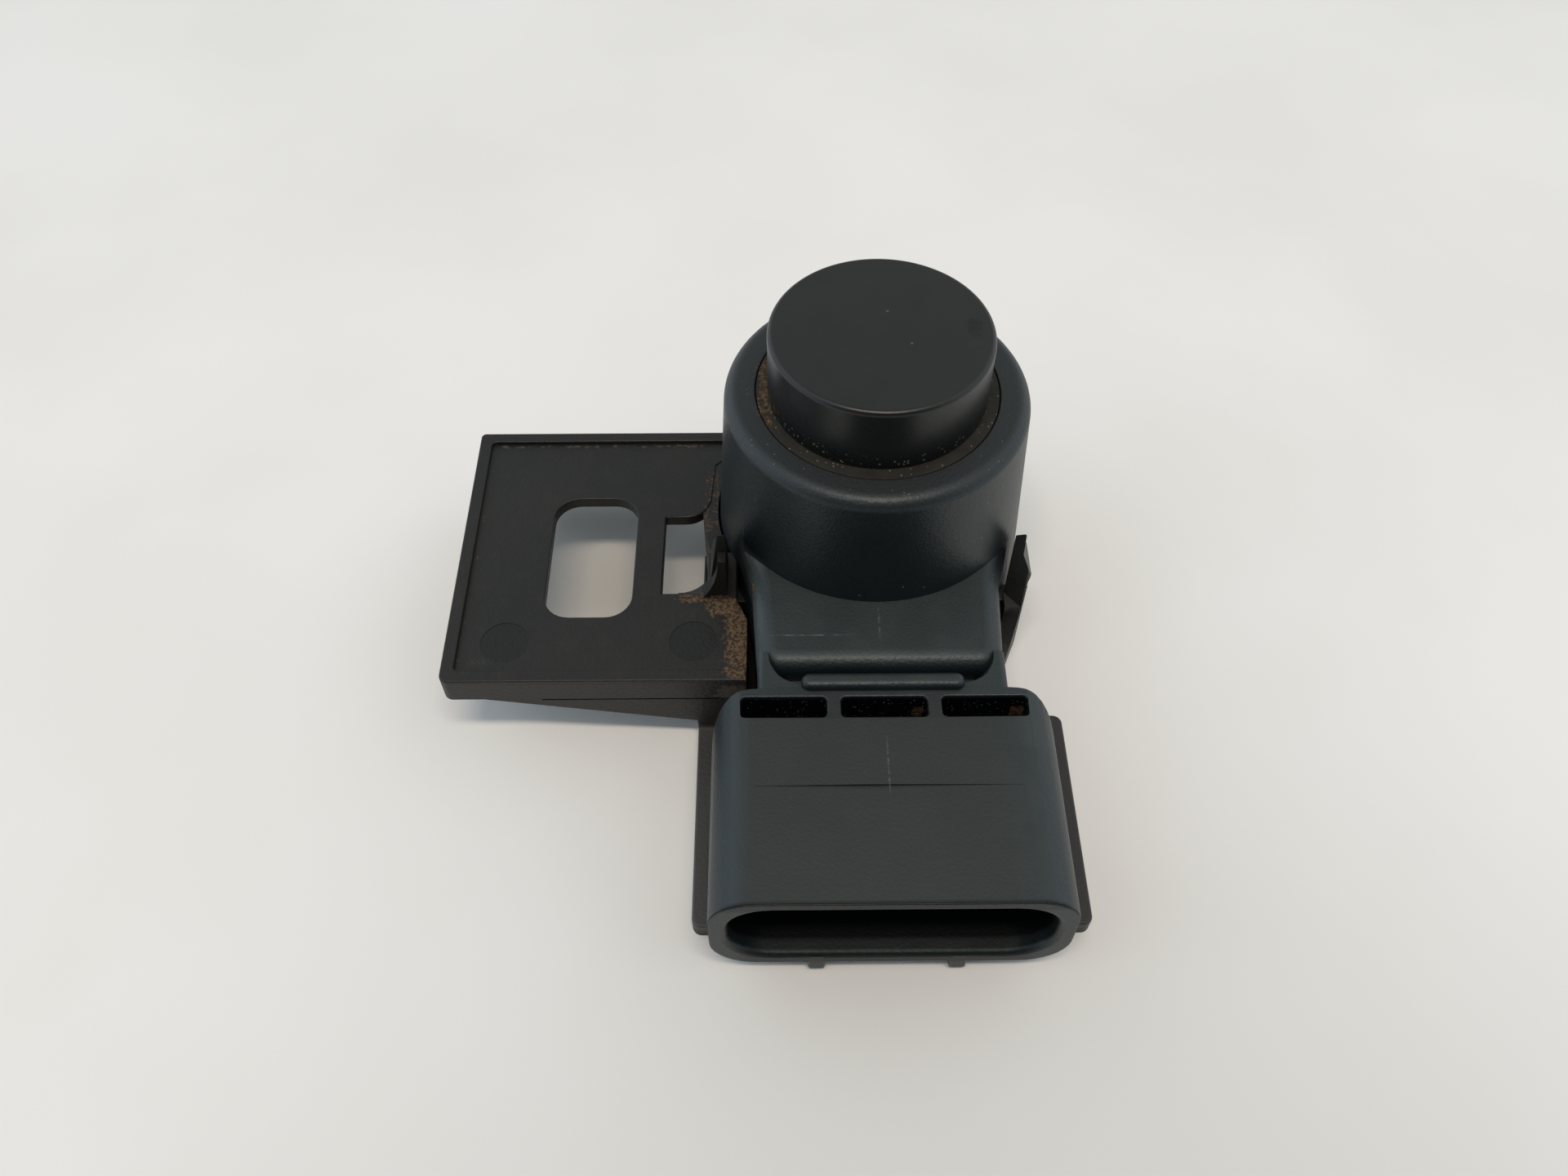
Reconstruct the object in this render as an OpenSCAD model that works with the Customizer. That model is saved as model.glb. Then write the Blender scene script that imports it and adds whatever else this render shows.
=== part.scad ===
/* [Transducer] */
// Diameter of the sounding face
nose_d = 16; // [14:0.5:17]
// Height of the nose above the housing's shoulder
nose_h = 5.4; // [4:0.1:8]
// Depth of the can below the shoulder
can_depth = 7.5; // [6:0.25:8.5]
// Side wall of the can
can_wall = 1; // [0.6:0.1:1.5]
// Thickness of the sounding face
face_t = 0.8; // [0.5:0.1:1.2]
// Rounding of the nose's edge
nose_edge_r = 0.4; // [0.2:0.1:0.7]
// How far the nose stands out over the can's gripped body
lip_t = 0.4; // [0.3:0.05:0.5]
// Gap between the nose and the housing's shoulder
lip_gap = 0.2; // [0.1:0.05:0.4]
// Wall of the rubber sleeve around the can
sleeve_t = 1.2; // [0.8:0.05:1.5]
// Floor of the sleeve under the can
sleeve_floor_t = 1.1; // [0.8:0.1:1.5]
// How far the sleeve's top lies below the shoulder
sleeve_recess = 0.2; // [0.1:0.05:0.6]
// Diameter of the piezo disc
piezo_d = 8; // [6:0.5:10]
// Thickness of the piezo disc
piezo_t = 0.3; // [0.2:0.05:0.5]
// Thickness of the damping felt
felt_t = 2; // [1:0.25:3]
// Thickness of the carrier that closes the can
carrier_t = 2; // [1.5:0.25:3]
// Diameter of a transducer pin
pin_d = 0.7; // [0.5:0.1:0.9]
// Diameter of a piezo lead
lead_d = 0.4; // [0.3:0.05:0.5]
// Spacing of the two pins and leads
pin_spacing = 4; // [3:0.5:5]

/* [Housing] */
// Diameter of the barrel at its shoulder
barrel_d = 22.3; // [22:0.1:23.5]
// Height of the barrel from its seat to the shoulder
barrel_h = 20; // [19.5:0.5:26]
// Draft of the barrel's wall in degrees
barrel_draft = 3.4; // [1:0.2:4]
// Rounding of the shoulder's edge
shoulder_r = 1; // [0.5:0.1:1.5]
// Width of the block where it meets the socket
block_w = 17.7; // [17:0.1:18]
// Height of the block from its seat
block_h = 9.7; // [9.3:0.1:10.2]
// Length of the block from the barrel's axis to its front wall
block_l = 16.4; // [16:0.2:18]
// Width of the block where its flare to the barrel starts
flare_w = 18.6; // [18:0.1:19]
// Start of the block's flare from the barrel's axis
flare_l = 9.6; // [9.2:0.1:10]
// Rounding of the block's top edges
block_edge_r = 0.8; // [0.3:0.1:1]
// Rounding of the block's front corners in plan
block_corner_r = 1.8; // [1:0.2:2.4]
// Wall of the block and the barrel around the circuit board
housing_wall = 1.4; // [1.1:0.1:1.7]
// Diameter of the opening in the floor below the transducer
floor_hole_d = 10; // [8:0.5:11]
// Length of the posts that carry the circuit board
post_h = 1.2; // [0.8:0.1:1.6]
// Diameter of the posts that carry the circuit board
post_d = 2; // [1.5:0.25:2.5]
// Width of the latch lug on each flank of the barrel
lug_w = 1.6; // [1.2:0.1:1.8]
// Height of the latch lug
lug_h = 1.3; // [1:0.1:1.6]
// Height of the latch lug's top above the housing's seat
lug_rise = 3.6; // [3:0.1:4.5]

/* [Plug socket] */
// Outer width of the socket
socket_w = 24.1; // [23.5:0.1:26]
// Outer height of the socket
socket_h = 9.75; // [9.5:0.25:11]
// Gap between the socket and the bracket's base plate
socket_lift = 0.25; // [0.1:0.05:0.5]
// Rounding of the socket's outer section
socket_corner_r = 3.2; // [2:0.2:4]
// Rounding of the socket's rear corners in plan
socket_rear_r = 3; // [1.5:0.1:3.2]
// Side and floor wall of the socket
socket_wall = 1.25; // [1:0.05:1.5]
// Roof of the socket
socket_roof_t = 1.7; // [1.2:0.1:2]
// Depth of the socket's cavity from its mouth
socket_depth = 12.6; // [11:0.2:16]
// Wall between the cavity and the top pockets
socket_back_t = 1.1; // [0.8:0.1:1.5]
// Side wall at each end of the trench
neck_wall = 0.7; // [0.5:0.1:1]
// Width of the trench between the block and the socket
trench_w = 2.2; // [1.6:0.1:2.6]
// Rounding of the trench's front corners
trench_r = 2; // [1:0.1:2.1]
// Width of the rim between the trench and the top pockets
rim_w = 1.4; // [1.3:0.1:2]
// Depth of the trench and the top pockets
pocket_depth = 3.2; // [2:0.1:3.5]
// Length of a top pocket along the socket
pocket_l = 1.7; // [1:0.1:2]
// Width of a top pocket across the socket
pocket_w = 6; // [5:0.1:6.3]
// Rounding of a top pocket's corners
pocket_r = 0.35; // [0.2:0.05:0.5]
// Number of top pockets
pocket_count = 3; // [2:1:3]
// Width of the rib between two top pockets
pocket_rib = 1; // [0.8:0.1:1.2]
// Length of the rounded key rib behind the top pockets
key_l = 11.4; // [8:0.2:14]
// Width of the key rib
key_w = 1.2; // [0.8:0.1:1.3]
// Distance of a locating tab under the mouth from the middle
tab_x = 4.85; // [3:0.25:7]
// Width of a locating tab
tab_w = 1.2; // [0.8:0.1:1.6]
// Depth of a locating tab below the socket
tab_h = 1.2; // [0.6:0.1:1.4]
// Length of a locating tab along the socket
tab_l = 1.8; // [1:0.1:2]
// Width of a terminal blade
blade_w = 1.8; // [1:0.1:2.2]
// Thickness of a terminal blade
blade_t = 0.6; // [0.4:0.1:0.8]
// Length of a terminal blade in the cavity
blade_l = 8; // [6:0.5:8]
// Number of terminals
blade_count = 3; // [2:1:3]
// Spacing of the terminals
blade_pitch = 5; // [4:0.25:5]

/* [Bracket] */
// Thickness of the base plate
base_t = 1.5; // [1.2:0.1:2]
// Base plate from the barrel's axis to its left edge
base_left = 13.55; // [13.3:0.05:14.5]
// Base plate from the barrel's axis to its right edge
base_right = 14.6; // [13:0.1:16]
// Base plate's front edge behind the socket's mouth
base_setback = 2.7; // [2.2:0.1:4]
// Base plate's strip on the right from its front to its back edge
strip_l = 17.05; // [12:0.05:17.5]
// Base plate's left strip from the barrel's axis to its back edge
base_back = 0.4; // [0:0.1:1]
// Rounding of the base plate's front corners
base_corner_r = 0.7; // [0.3:0.1:1.5]
// Raised plate from the barrel's axis to its left edge
plate_left = 32.2; // [30:0.2:36]
// Raised plate from the barrel's axis to its back edge
plate_back = 8.05; // [7:0.05:10]
// Raised plate from the barrel's axis to its front edge
plate_front = 16.8; // [16:0.1:18]
// Height of the raised plate's top
plate_z = 8.55; // [7.5:0.05:9.5]
// Height of the raised plate's edge from its underside to its top
plate_t = 2.4; // [2:0.1:3]
// Thickness of the raised plate's thin panel
panel_t = 0.95; // [0.7:0.05:1.2]
// Width of the raised rim around the plate
rim_plate_w = 1; // [0.6:0.1:1.5]
// Height of the raised rim around the plate
rim_plate_h = 0.35; // [0.2:0.05:0.6]
// Width of the fixing slot
slot_w = 6.7; // [5:0.1:8]
// Length of the fixing slot
slot_l = 11.75; // [8:0.25:14]
// Rounding of the fixing slot's corners
slot_r = 2; // [1:0.1:2.5]
// Fixing slot's middle from the barrel's axis, to the left
slot_x = 21.9; // [21:0.1:25]
// Fixing slot's middle from the barrel's axis, to the front
slot_y = 4.9; // [3:0.1:7]
// Clip hole's left edge from the barrel's axis
hole_left = 16.3; // [15.5:0.1:17]
// Clip hole's front edge from the barrel's axis
hole_front = 8.6; // [8.5:0.05:10]
// Clip hole's back edge from the barrel's axis
hole_back = 1; // [0.5:0.05:2]
// Length of the slanted relief in the plate's edge in front of the left arm
relief_l = 2.4; // [2:0.1:3]
// Thickness of the gusset under the front edge
gusset_t = 1.4; // [1:0.1:2.5]
// How far the gusset lies behind the plate's front face
gusset_inset = 0.25; // [0.1:0.05:0.6]
// Gusset's tip behind the plate's left edge
gusset_tip = 1; // [0.5:0.1:3]
// Gusset's lower edge above the floor where it meets the base plate
gusset_foot_z = 2.55; // [1.6:0.05:4]
// Thickness of the walls that carry the raised plate
web_t = 1.2; // [0.8:0.1:1.4]
// Thickness of the cradle wall around the barrel
cradle_t = 0.6; // [0.5:0.05:0.9]
// Inner face of the right snap arm from the barrel's axis
arm_x = 10.5; // [10.3:0.05:10.8]
// Inner face of the left snap arm from the barrel's axis
left_arm_x = 11.2; // [10.8:0.05:11.4]
// Front face of a snap arm from the barrel's axis
arm_front = 8.2; // [8:0.05:8.4]
// Width of a snap arm
arm_w = 3.6; // [3.2:0.1:4]
// Height of a snap arm's top
arm_z = 14.7; // [13.5:0.1:16.5]
// How much lower a snap arm's tip is at its back
arm_slope = 4.6; // [2:0.1:5]
// Thickness of a snap arm at its tip
arm_tip_t = 0.7; // [0.5:0.05:1]
// Thickness of a snap arm at its shoulder
arm_root_t = 1.6; // [1.3:0.05:1.7]
// Height of a snap arm's shoulder
arm_shoulder_z = 9.2; // [8.9:0.1:9.6]
// Length of the left arm's curved root along the raised plate
root_l = 2.6; // [1.5:0.1:3.5]
// How far the left arm's curved root reaches in front of the clip hole
root_t = 0.6; // [0.3:0.1:1]
// Height of the left arm's curved root
root_h = 5.5; // [3:0.1:6.5]
// Length of the curved foot in front of a snap arm
foot_l = 3.3; // [2:0.1:4]
// Height of the curved foot in front of a snap arm
foot_h = 6; // [3:0.1:7]
// Turn of the curved foot towards the block, in degrees
foot_turn = 23; // [15:1:26]

/* [Circuit board] */
// Thickness of the circuit board
board_t = 1.2; // [0.8:0.1:1.6]
// Width of the transformer's square core
core_w = 7; // [6.6:0.1:7.4]
// Height of the transformer's core
core_h = 3.4; // [2.8:0.1:4.2]
// Wall of the transformer's core
core_wall = 0.75; // [0.5:0.05:0.9]
// Diameter of the core's middle post
core_post_d = 1.7; // [1.2:0.1:2]
// Wall of the bobbin
bobbin_wall = 0.5; // [0.3:0.05:0.6]
// Width of the signal chip's body
chip_w = 4.4; // [4:0.1:5]
// Length of the signal chip's body
chip_l = 5; // [4:0.1:5.4]
// Height of the signal chip's body
chip_h = 1.4; // [1:0.1:2]
// Number of leads on each side of the signal chip
chip_leads = 7; // [4:1:8]
// Width of a lead of the signal chip
chip_lead_w = 0.3; // [0.2:0.05:0.4]
// Length of the storage capacitor
storage_l = 3.5; // [3:0.1:3.8]
// Width of the storage capacitor
storage_w = 2.4; // [2:0.1:2.6]
// Height of the storage capacitor
storage_h = 1.9; // [1.5:0.1:2.5]
// Length of a ceramic capacitor
ceramic_l = 2; // [1.6:0.1:2.4]
// Width and height of a ceramic capacitor
ceramic_w = 1.25; // [0.8:0.05:1.4]
// Length of a chip resistor
resistor_l = 1.6; // [1:0.1:1.8]
// Width of a chip resistor
resistor_w = 0.8; // [0.5:0.05:1]
// Height of a chip resistor
resistor_h = 0.5; // [0.3:0.05:0.6]

/* [Clearances] */
// Gap between fitted pieces
fit_gap = 0.05; // [0.03:0.01:0.1]
// Gap between the housing and the bracket's upright walls
side_gap = 0.4; // [0.3:0.05:0.6]
// Gap around a latch lug in its window
window_gap = 0.2; // [0.1:0.05:0.3]
// Gap between the circuit board and the housing's walls
board_gap = 0.4; // [0.2:0.05:0.6]

/* [Hidden] */
$fn = 64;
// Overlap that makes a cut break through a face
cut = 1;
// Steps along a rounding
arc_steps = 6;
// How far the neck's top lies below the block's
neck_drop = 0.2;

// Heights along the barrel's axis
seat_z = base_t;
shoulder_z = seat_z + barrel_h;
nose_z = shoulder_z + nose_h;
can_z = shoulder_z - can_depth;
bore_z = can_z - sleeve_floor_t;
block_z = seat_z + block_h;
chamber_z = min(block_z - housing_wall, bore_z - housing_wall);
board_top_z = chamber_z - post_h;
board_z = board_top_z - board_t;
lip_z = shoulder_z + lip_gap;
piezo_z = nose_z - face_t - piezo_t;
felt_z = piezo_z - felt_t;
filler_z = can_z + carrier_t;

// Radii around the barrel's axis
can_r = nose_d / 2;
can_bore_r = can_r - can_wall;
can_body_r = can_r - lip_t;
sleeve_r = can_body_r + fit_gap + sleeve_t;
bore_r = sleeve_r + fit_gap;
filler_r = can_bore_r - fit_gap;
chamber_r = barrel_d / 2 - housing_wall;
barrel_foot_r = barrel_d / 2 + barrel_h * tan(barrel_draft);
barrel_block_r = barrel_d / 2 + (barrel_h - block_h) * tan(barrel_draft);
flare_start = [flare_w / 2, -flare_l];
flare_turn = acos(barrel_block_r / norm(flare_start)) - atan2(flare_l, flare_w / 2);
flare_touch = barrel_block_r * [cos(flare_turn), sin(flare_turn)];
cradle_r = barrel_foot_r + side_gap;

// Places along the socket
block_y = -block_l;
trench_y = block_y - trench_w;
rear_y = trench_y - key_w / 2;
pocket_y = trench_y - rim_w;
cavity_y = pocket_y - pocket_l - socket_back_t;
mouth_y = cavity_y - socket_depth;
socket_z = seat_z + socket_lift;
socket_top_z = socket_z + socket_h;
neck_z = min(block_z, socket_top_z) - neck_drop;
pocket_z = min(block_z, socket_top_z) - pocket_depth;
chamber_w = block_w - 2 * housing_wall;
chamber_y = block_y + housing_wall;
cavity_z = (socket_z + socket_wall + socket_top_z - socket_roof_t) / 2;
blade_z = cavity_z - blade_t / 2;
tail_y = chamber_y + board_gap + blade_w / 2;

// Places on the bracket
base_y = mouth_y + base_setback;
strip_y = base_y + strip_l;
plate_right = flare_w / 2 + side_gap;
plate_low_z = plate_z - plate_t;
panel_z = plate_z - rim_plate_h - panel_t;
web_z = panel_z + panel_t / 2;
hole_right = left_arm_x + arm_root_t;
arm_back = arm_front - arm_w;
arm_mid = (arm_front + arm_back) / 2;
lug_top_z = seat_z + lug_rise;

// Places on the circuit board
board_w = chamber_w - 2 * board_gap;
board_front = chamber_y + board_gap;
board_back = sqrt(pow(chamber_r - board_gap, 2) - pow(board_w / 2, 2));
part_gap = 0.5;
pin_gap = 1;
core_y = -pin_d / 2 - pin_gap - core_w / 2;
chip_y = pin_d / 2 + pin_gap + chip_w / 2;
storage_x = chip_l / 2 + part_gap + storage_w / 2;
small_x = core_w / 2 + part_gap + ceramic_w / 2;
ceramic_ys = [for (i = [0:3]) core_y - core_w / 2 + ceramic_l / 2 + i * (ceramic_l + part_gap)];
resistor_ys = [for (i = [0:3]) core_y - core_w / 2 + resistor_l / 2 + i * (resistor_l + part_gap)];

// Points along an arc from one angle to another
function arc(x, y, r, from, to) =
    [for (i = [0:arc_steps]) let (a = from + (to - from) * i / arc_steps) [x + r * cos(a), y + r * sin(a)]];

// Outline of a rectangle with rounded corners, centred on the origin
function round_rect(w, h, r) = concat(
    arc(w / 2 - r, h / 2 - r, r, 0, 90),
    arc(r - w / 2, h / 2 - r, r, 90, 180),
    arc(r - w / 2, r - h / 2, r, 180, 270),
    arc(w / 2 - r, r - h / 2, r, 270, 360));

// A flat slab of an outline between two heights
module slab(low, high) {
    translate([0, 0, low]) linear_extrude(high - low) children();
}

// A section across the socket, drawn in X and Z, that runs from one Y to another
module run_y(from, to) {
    translate([0, to, 0]) rotate([90, 0, 0]) linear_extrude(to - from) children();
}

// A section along the socket, drawn in Y and Z, centred on the middle plane
module run_x(width) {
    rotate([90, 0, 90]) linear_extrude(width, center = true) children();
}

// A box by its lowest and highest corners
module span(low, high) {
    translate(low) cube(high - low);
}

// Mirror images on both sides of the middle plane
module both_sides() {
    children();
    mirror([1, 0, 0]) children();
}

module bracket() {
    color("#1d1c1b") union() {
        base_plate();
        raised_plate();
        gusset();
        webs();
        snap_arm(arm_x);
        mirror([1, 0, 0]) snap_arm(left_arm_x);
        arm_root();
    }
}

// Flat plate under the sensor
module base_plate() {
    slab(0, base_t) {
        difference() {
            union() {
                translate([-base_left, base_y]) square([base_left + base_right, strip_l]);
                translate([-base_left, base_y]) square([base_left, base_back - base_y]);
                translate([-block_w / 2, base_y]) square([block_w, -base_y]);
            }
            for (side = [-base_left, base_right])
                translate([side, base_y]) corner_cut(base_corner_r, sign(side));
        }
        circle(barrel_foot_r - fit_gap);
        foot_outline(arm_x + arm_root_t);
        mirror([1, 0]) foot_outline(left_arm_x + arm_root_t);
    }
}

// What a rounded front corner takes off a square one
module corner_cut(r, side) {
    polygon(concat([[side * cut, -cut]], [for (p = arc(-r, r, r, 270, 360)) [side * p[0], p[1]]]));
}

// Outline of the base plate under a snap arm and its curved foot
module foot_outline(outer) {
    tip = [outer - foot_l * sin(foot_turn), -arm_front - foot_l * cos(foot_turn)];
    polygon([[0, 0], [0, -arm_front], tip - [web_t, 0], tip, [outer, -arm_front], [outer, -arm_back]]);
}

// Side plate with its rim, fixing slot and clip hole
module raised_plate() {
    difference() {
        slab(plate_low_z, plate_z) difference() {
            translate([-plate_left, -plate_front])
                square([plate_left - plate_right, plate_front + plate_back]);
            circle(cradle_r);
            translate([-slot_x, -slot_y]) polygon(round_rect(slot_w, slot_l, slot_r));
            translate([-hole_left, -hole_front]) square([hole_left - hole_right, hole_front - hole_back]);
            translate([-hole_left, -arm_back]) square([hole_left - arm_x, arm_back - hole_back]);
            translate([-plate_left, -plate_front]) corner_cut(base_corner_r, -1);
            arm_relief();
        }
        slab(plate_z - rim_plate_h, plate_z + cut) inner_field(rim_plate_w);
        slab(plate_low_z - cut, panel_z) inner_field(gusset_t);
    }
}

// Field of the raised plate inside its border, open towards the sensor
module inner_field(border) {
    translate([border - plate_left, border - plate_front])
        square([plate_left, plate_front + plate_back - 2 * border]);
}

// Slanted relief in the raised plate's edge in front of the arm
module arm_relief() {
    polygon([
        [cut - plate_right, -hole_front - relief_l],
        [-plate_right, -hole_front - relief_l],
        [-arm_x, -hole_front - root_t],
        [-arm_x, -arm_back],
        [cut - plate_right, -arm_back]]);
}

// Tapered rib under the raised plate's front edge
module gusset() {
    run_y(gusset_inset - plate_front, gusset_inset + gusset_t - plate_front) polygon([
        [gusset_tip - plate_left, plate_low_z],
        [-base_left, gusset_foot_z],
        [-base_left, 0],
        [-plate_right, 0],
        [-plate_right, web_z],
        [gusset_tip - plate_left, web_z]]);
}

// Walls that carry the raised plate on the base plate
module webs() {
    span([-plate_right - web_t, gusset_inset - plate_front, 0],
        [-plate_right, -hole_front - relief_l, web_z]);
    slab(0, web_z) difference() {
        cradle_sector();
        circle(cradle_r);
    }
    slab(0, base_t) cradle_sector();
}

// Plan of the base under the cradle wall, from the left arm to the plate's back edge
module cradle_sector() {
    intersection() {
        circle(cradle_r + cradle_t);
        translate([-plate_left, -arm_back]) square([plate_left, arm_back + plate_back]);
    }
}

// Upright arm on the right with a window for the latch lug
module snap_arm(x) {
    difference() {
        run_y(-arm_front, -arm_back) polygon([
            [x, 0],
            [x, arm_z],
            [x + arm_tip_t, arm_z],
            [x + arm_root_t, arm_shoulder_z],
            [x + arm_root_t, 0]]);
        run_x(2 * (x + arm_root_t + cut)) polygon([
            [-arm_front, arm_z],
            [-arm_back, arm_z - arm_slope],
            [cut - arm_back, arm_z - arm_slope],
            [cut - arm_back, arm_z + cut],
            [-arm_front, arm_z + cut]]);
        translate([0, 0, base_t]) cylinder(h = arm_z, r = cradle_r - side_gap / 2);
        span([x - cut, -arm_mid - lug_w / 2 - window_gap, lug_top_z - lug_h - window_gap],
            [x + arm_root_t + cut, -arm_mid + lug_w / 2 + window_gap, lug_top_z + window_gap]);
    }
    translate([x + arm_root_t, -arm_front, 0]) rotate(-foot_turn) arm_foot();
}

// Curved root that carries the left arm on the raised plate
module arm_root() {
    outer = -left_arm_x - arm_tip_t;
    run_y(-hole_front - root_t, -arm_front) polygon(concat(
        [[-left_arm_x, panel_z], [-left_arm_x, panel_z + root_h]],
        [for (p = arc(0, 0, 1, 0, 90)) [outer - root_l * (1 - p[0]), panel_z + root_h * (1 - p[1])]],
        [[outer - root_l, panel_z]]));
}

// Curved foot that runs forward from the arm
module arm_foot() {
    rotate([90, 0, -90]) linear_extrude(web_t) polygon(concat(
        [[-arm_tip_t, 0], [foot_l, 0]],
        [for (p = arc(0, 0, 1, 0, 90)) [foot_l * (1 - p[1]), base_t + foot_h * (1 - p[0])]],
        [[-arm_tip_t, base_t + foot_h]]));
}

module sensor_housing() {
    color("#2c3236") difference() {
        union() {
            barrel();
            block();
            socket_body();
            locating_tabs();
            latch_lug(arm_x);
            mirror([1, 0, 0]) latch_lug(left_arm_x);
        }
        translate([0, 0, bore_z]) cylinder(h = barrel_h, r = bore_r);
        translate([0, 0, seat_z - cut]) cylinder(h = barrel_h - can_depth, d = floor_hole_d);
        chamber(seat_z - cut, 0);
        socket_cavity();
        top_pockets();
        for (x = blade_places())
            span([x - blade_w / 2 - fit_gap, cavity_y - cut, blade_z - fit_gap],
                [x + blade_w / 2 + fit_gap, chamber_y + cut, blade_z + blade_t + fit_gap]);
    }
    color("#2c3236") key_rib();
    color("#2c3236") board_posts();
}

// Round body with a drafted wall and a rounded shoulder
module barrel() {
    top_r = barrel_d / 2;
    rotate_extrude() polygon(concat(
        [[0, seat_z], [barrel_foot_r, seat_z]],
        [for (p = arc(top_r - shoulder_r, shoulder_z - shoulder_r, shoulder_r, 0, 90))
            [p[0] + (shoulder_z - p[1]) * tan(barrel_draft), p[1]]],
        [[0, shoulder_z]]));
}

// Block in front of the barrel, with rounded top edges and front corners
module block() {
    difference() {
        slab(seat_z, block_z) block_plan();
        both_sides() {
            top_edge_cut(flare_touch, flare_start);
            top_edge_cut(flare_start, [block_w / 2, block_y]);
        }
        top_edge_cut([flare_w, block_y], [-flare_w, block_y]);
    }
}

// Plan of the block, which narrows to the front and flares to the barrel along tangents
module block_plan() {
    r = block_corner_r;
    right = concat([flare_touch, flare_start], arc(block_w / 2 - r, block_y + r, r, 0, -90));
    polygon(right);
    mirror([1, 0]) polygon(right);
    polygon([flare_touch, right[len(right) - 1], [-right[len(right) - 1][0], block_y],
        [-flare_touch[0], flare_touch[1]]]);
}

// What the rounding takes off a top edge of the block, for an edge that has the block on its right
module top_edge_cut(from, to) {
    r = block_edge_r;
    run = to - from;
    translate([from[0], from[1], block_z]) rotate(atan2(run[1], run[0])) rotate([90, 0, 90])
        translate([0, 0, -r]) linear_extrude(norm(run) + 2 * r)
            polygon(concat([[cut, -r], [cut, cut], [-r, cut]], arc(-r, -r, r, 90, 0)));
}

// Socket with rounded section and rounded rear corners, and the neck that joins it to the block
module socket_body() {
    intersection() {
        run_y(mouth_y, rear_y) translate([0, socket_z + socket_h / 2])
            polygon(round_rect(socket_w, socket_h, socket_corner_r));
        slab(seat_z, socket_top_z + cut) translate([0, (mouth_y - socket_rear_r + rear_y) / 2])
            polygon(round_rect(socket_w, rear_y - mouth_y + socket_rear_r, socket_rear_r));
    }
    intersection() {
        run_y(rear_y - socket_back_t, block_y + block_corner_r) neck_section();
        span([-socket_w, mouth_y, socket_z], [socket_w, 0, neck_z]);
    }
}

// Section of the neck with rounded top edges
module neck_section() {
    r = block_edge_r;
    polygon(concat(
        [[block_w / 2, seat_z]],
        arc(block_w / 2 - r, neck_z - r, r, 0, 90),
        arc(r - block_w / 2, neck_z - r, r, 90, 180),
        [[-block_w / 2, seat_z]]));
}

// Two small tabs under the mouth, in front of the base plate
module locating_tabs() {
    for (x = [-tab_x, tab_x])
        span([x - tab_w / 2, mouth_y, socket_z - tab_h],
            [x + tab_w / 2, mouth_y + tab_l, socket_z + socket_wall]);
}

// Lug that snaps into a window of the bracket's arm
module latch_lug(x) {
    span([chamber_r, -arm_mid - lug_w / 2, lug_top_z - lug_h],
        [x + arm_tip_t, -arm_mid + lug_w / 2, lug_top_z]);
}

// Space around the circuit board, shrunk on all sides by a gap
module chamber(low, gap) {
    slab(low, chamber_z) {
        circle(chamber_r - gap);
        translate([gap - chamber_w / 2, chamber_y + gap]) square([chamber_w - 2 * gap, -chamber_y - gap]);
    }
}

// Cavity that takes the plug
module socket_cavity() {
    high = socket_h - socket_wall - socket_roof_t;
    run_y(mouth_y - cut, cavity_y) translate([0, cavity_z])
        polygon(round_rect(socket_w - 2 * socket_wall, high, socket_corner_r - socket_wall));
}

// Trench behind the socket and the row of pockets in its top
module top_pockets() {
    pitch = pocket_w + pocket_rib;
    trench_l = block_w - 2 * neck_wall;
    slab(pocket_z, socket_top_z + cut) {
        polygon(concat(
            [[trench_l / 2, block_y], [-trench_l / 2, block_y]],
            arc(trench_r - trench_l / 2, trench_y + trench_r, trench_r, 180, 270),
            arc(trench_l / 2 - trench_r, trench_y + trench_r, trench_r, 270, 360)));
        for (i = [0:pocket_count - 1])
            translate([(i - (pocket_count - 1) / 2) * pitch, pocket_y - pocket_l / 2])
                polygon(round_rect(pocket_w, pocket_l, pocket_r));
    }
}

// Half-round rib on the rim between the trench and the pockets
module key_rib() {
    translate([0, trench_y - key_w / 2, neck_z - block_edge_r])
        slab(0, block_edge_r + key_w / 2) {
            square([key_l - key_w, key_w], center = true);
            for (side = [-1, 1])
                translate([side * (key_l - key_w) / 2, 0]) circle(d = key_w);
        }
}

// Posts under the chamber's roof that the circuit board is fixed to
module board_posts() {
    for (x = [-1, 1])
        translate([x * (board_w / 2 - post_d), -block_l / 2, board_top_z])
            cylinder(h = chamber_z - board_top_z + fit_gap, d = post_d);
}

// Middles of the terminals across the socket
function blade_places() = [for (i = [0:blade_count - 1]) (i - (blade_count - 1) / 2) * blade_pitch];

// Places of the two pins and leads
function pin_places() = [-pin_spacing / 2, pin_spacing / 2];

module transducer_can() {
    r = nose_edge_r;
    color("#202427") rotate_extrude() polygon(concat(
        [[can_bore_r, can_z], [can_body_r, can_z], [can_body_r, lip_z], [can_r, lip_z]],
        arc(can_r - r, nose_z - r, r, 0, 90),
        [[0, nose_z], [0, nose_z - face_t], [can_bore_r, nose_z - face_t]]));
}

module isolation_sleeve() {
    color("#191a1b") rotate_extrude() polygon([
        [floor_hole_d / 2, bore_z],
        [sleeve_r, bore_z],
        [sleeve_r, shoulder_z - sleeve_recess],
        [can_body_r + fit_gap, shoulder_z - sleeve_recess],
        [can_body_r + fit_gap, can_z],
        [floor_hole_d / 2, can_z]]);
}

module piezo_disc() {
    color("#b9b08c") translate([0, 0, piezo_z]) cylinder(h = piezo_t, d = piezo_d);
}

module damping_felt() {
    color("#8d8a80") difference() {
        translate([0, 0, felt_z]) cylinder(h = felt_t, r = filler_r);
        pin_holes(felt_z, lead_d + 2 * fit_gap, felt_t);
    }
}

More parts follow.
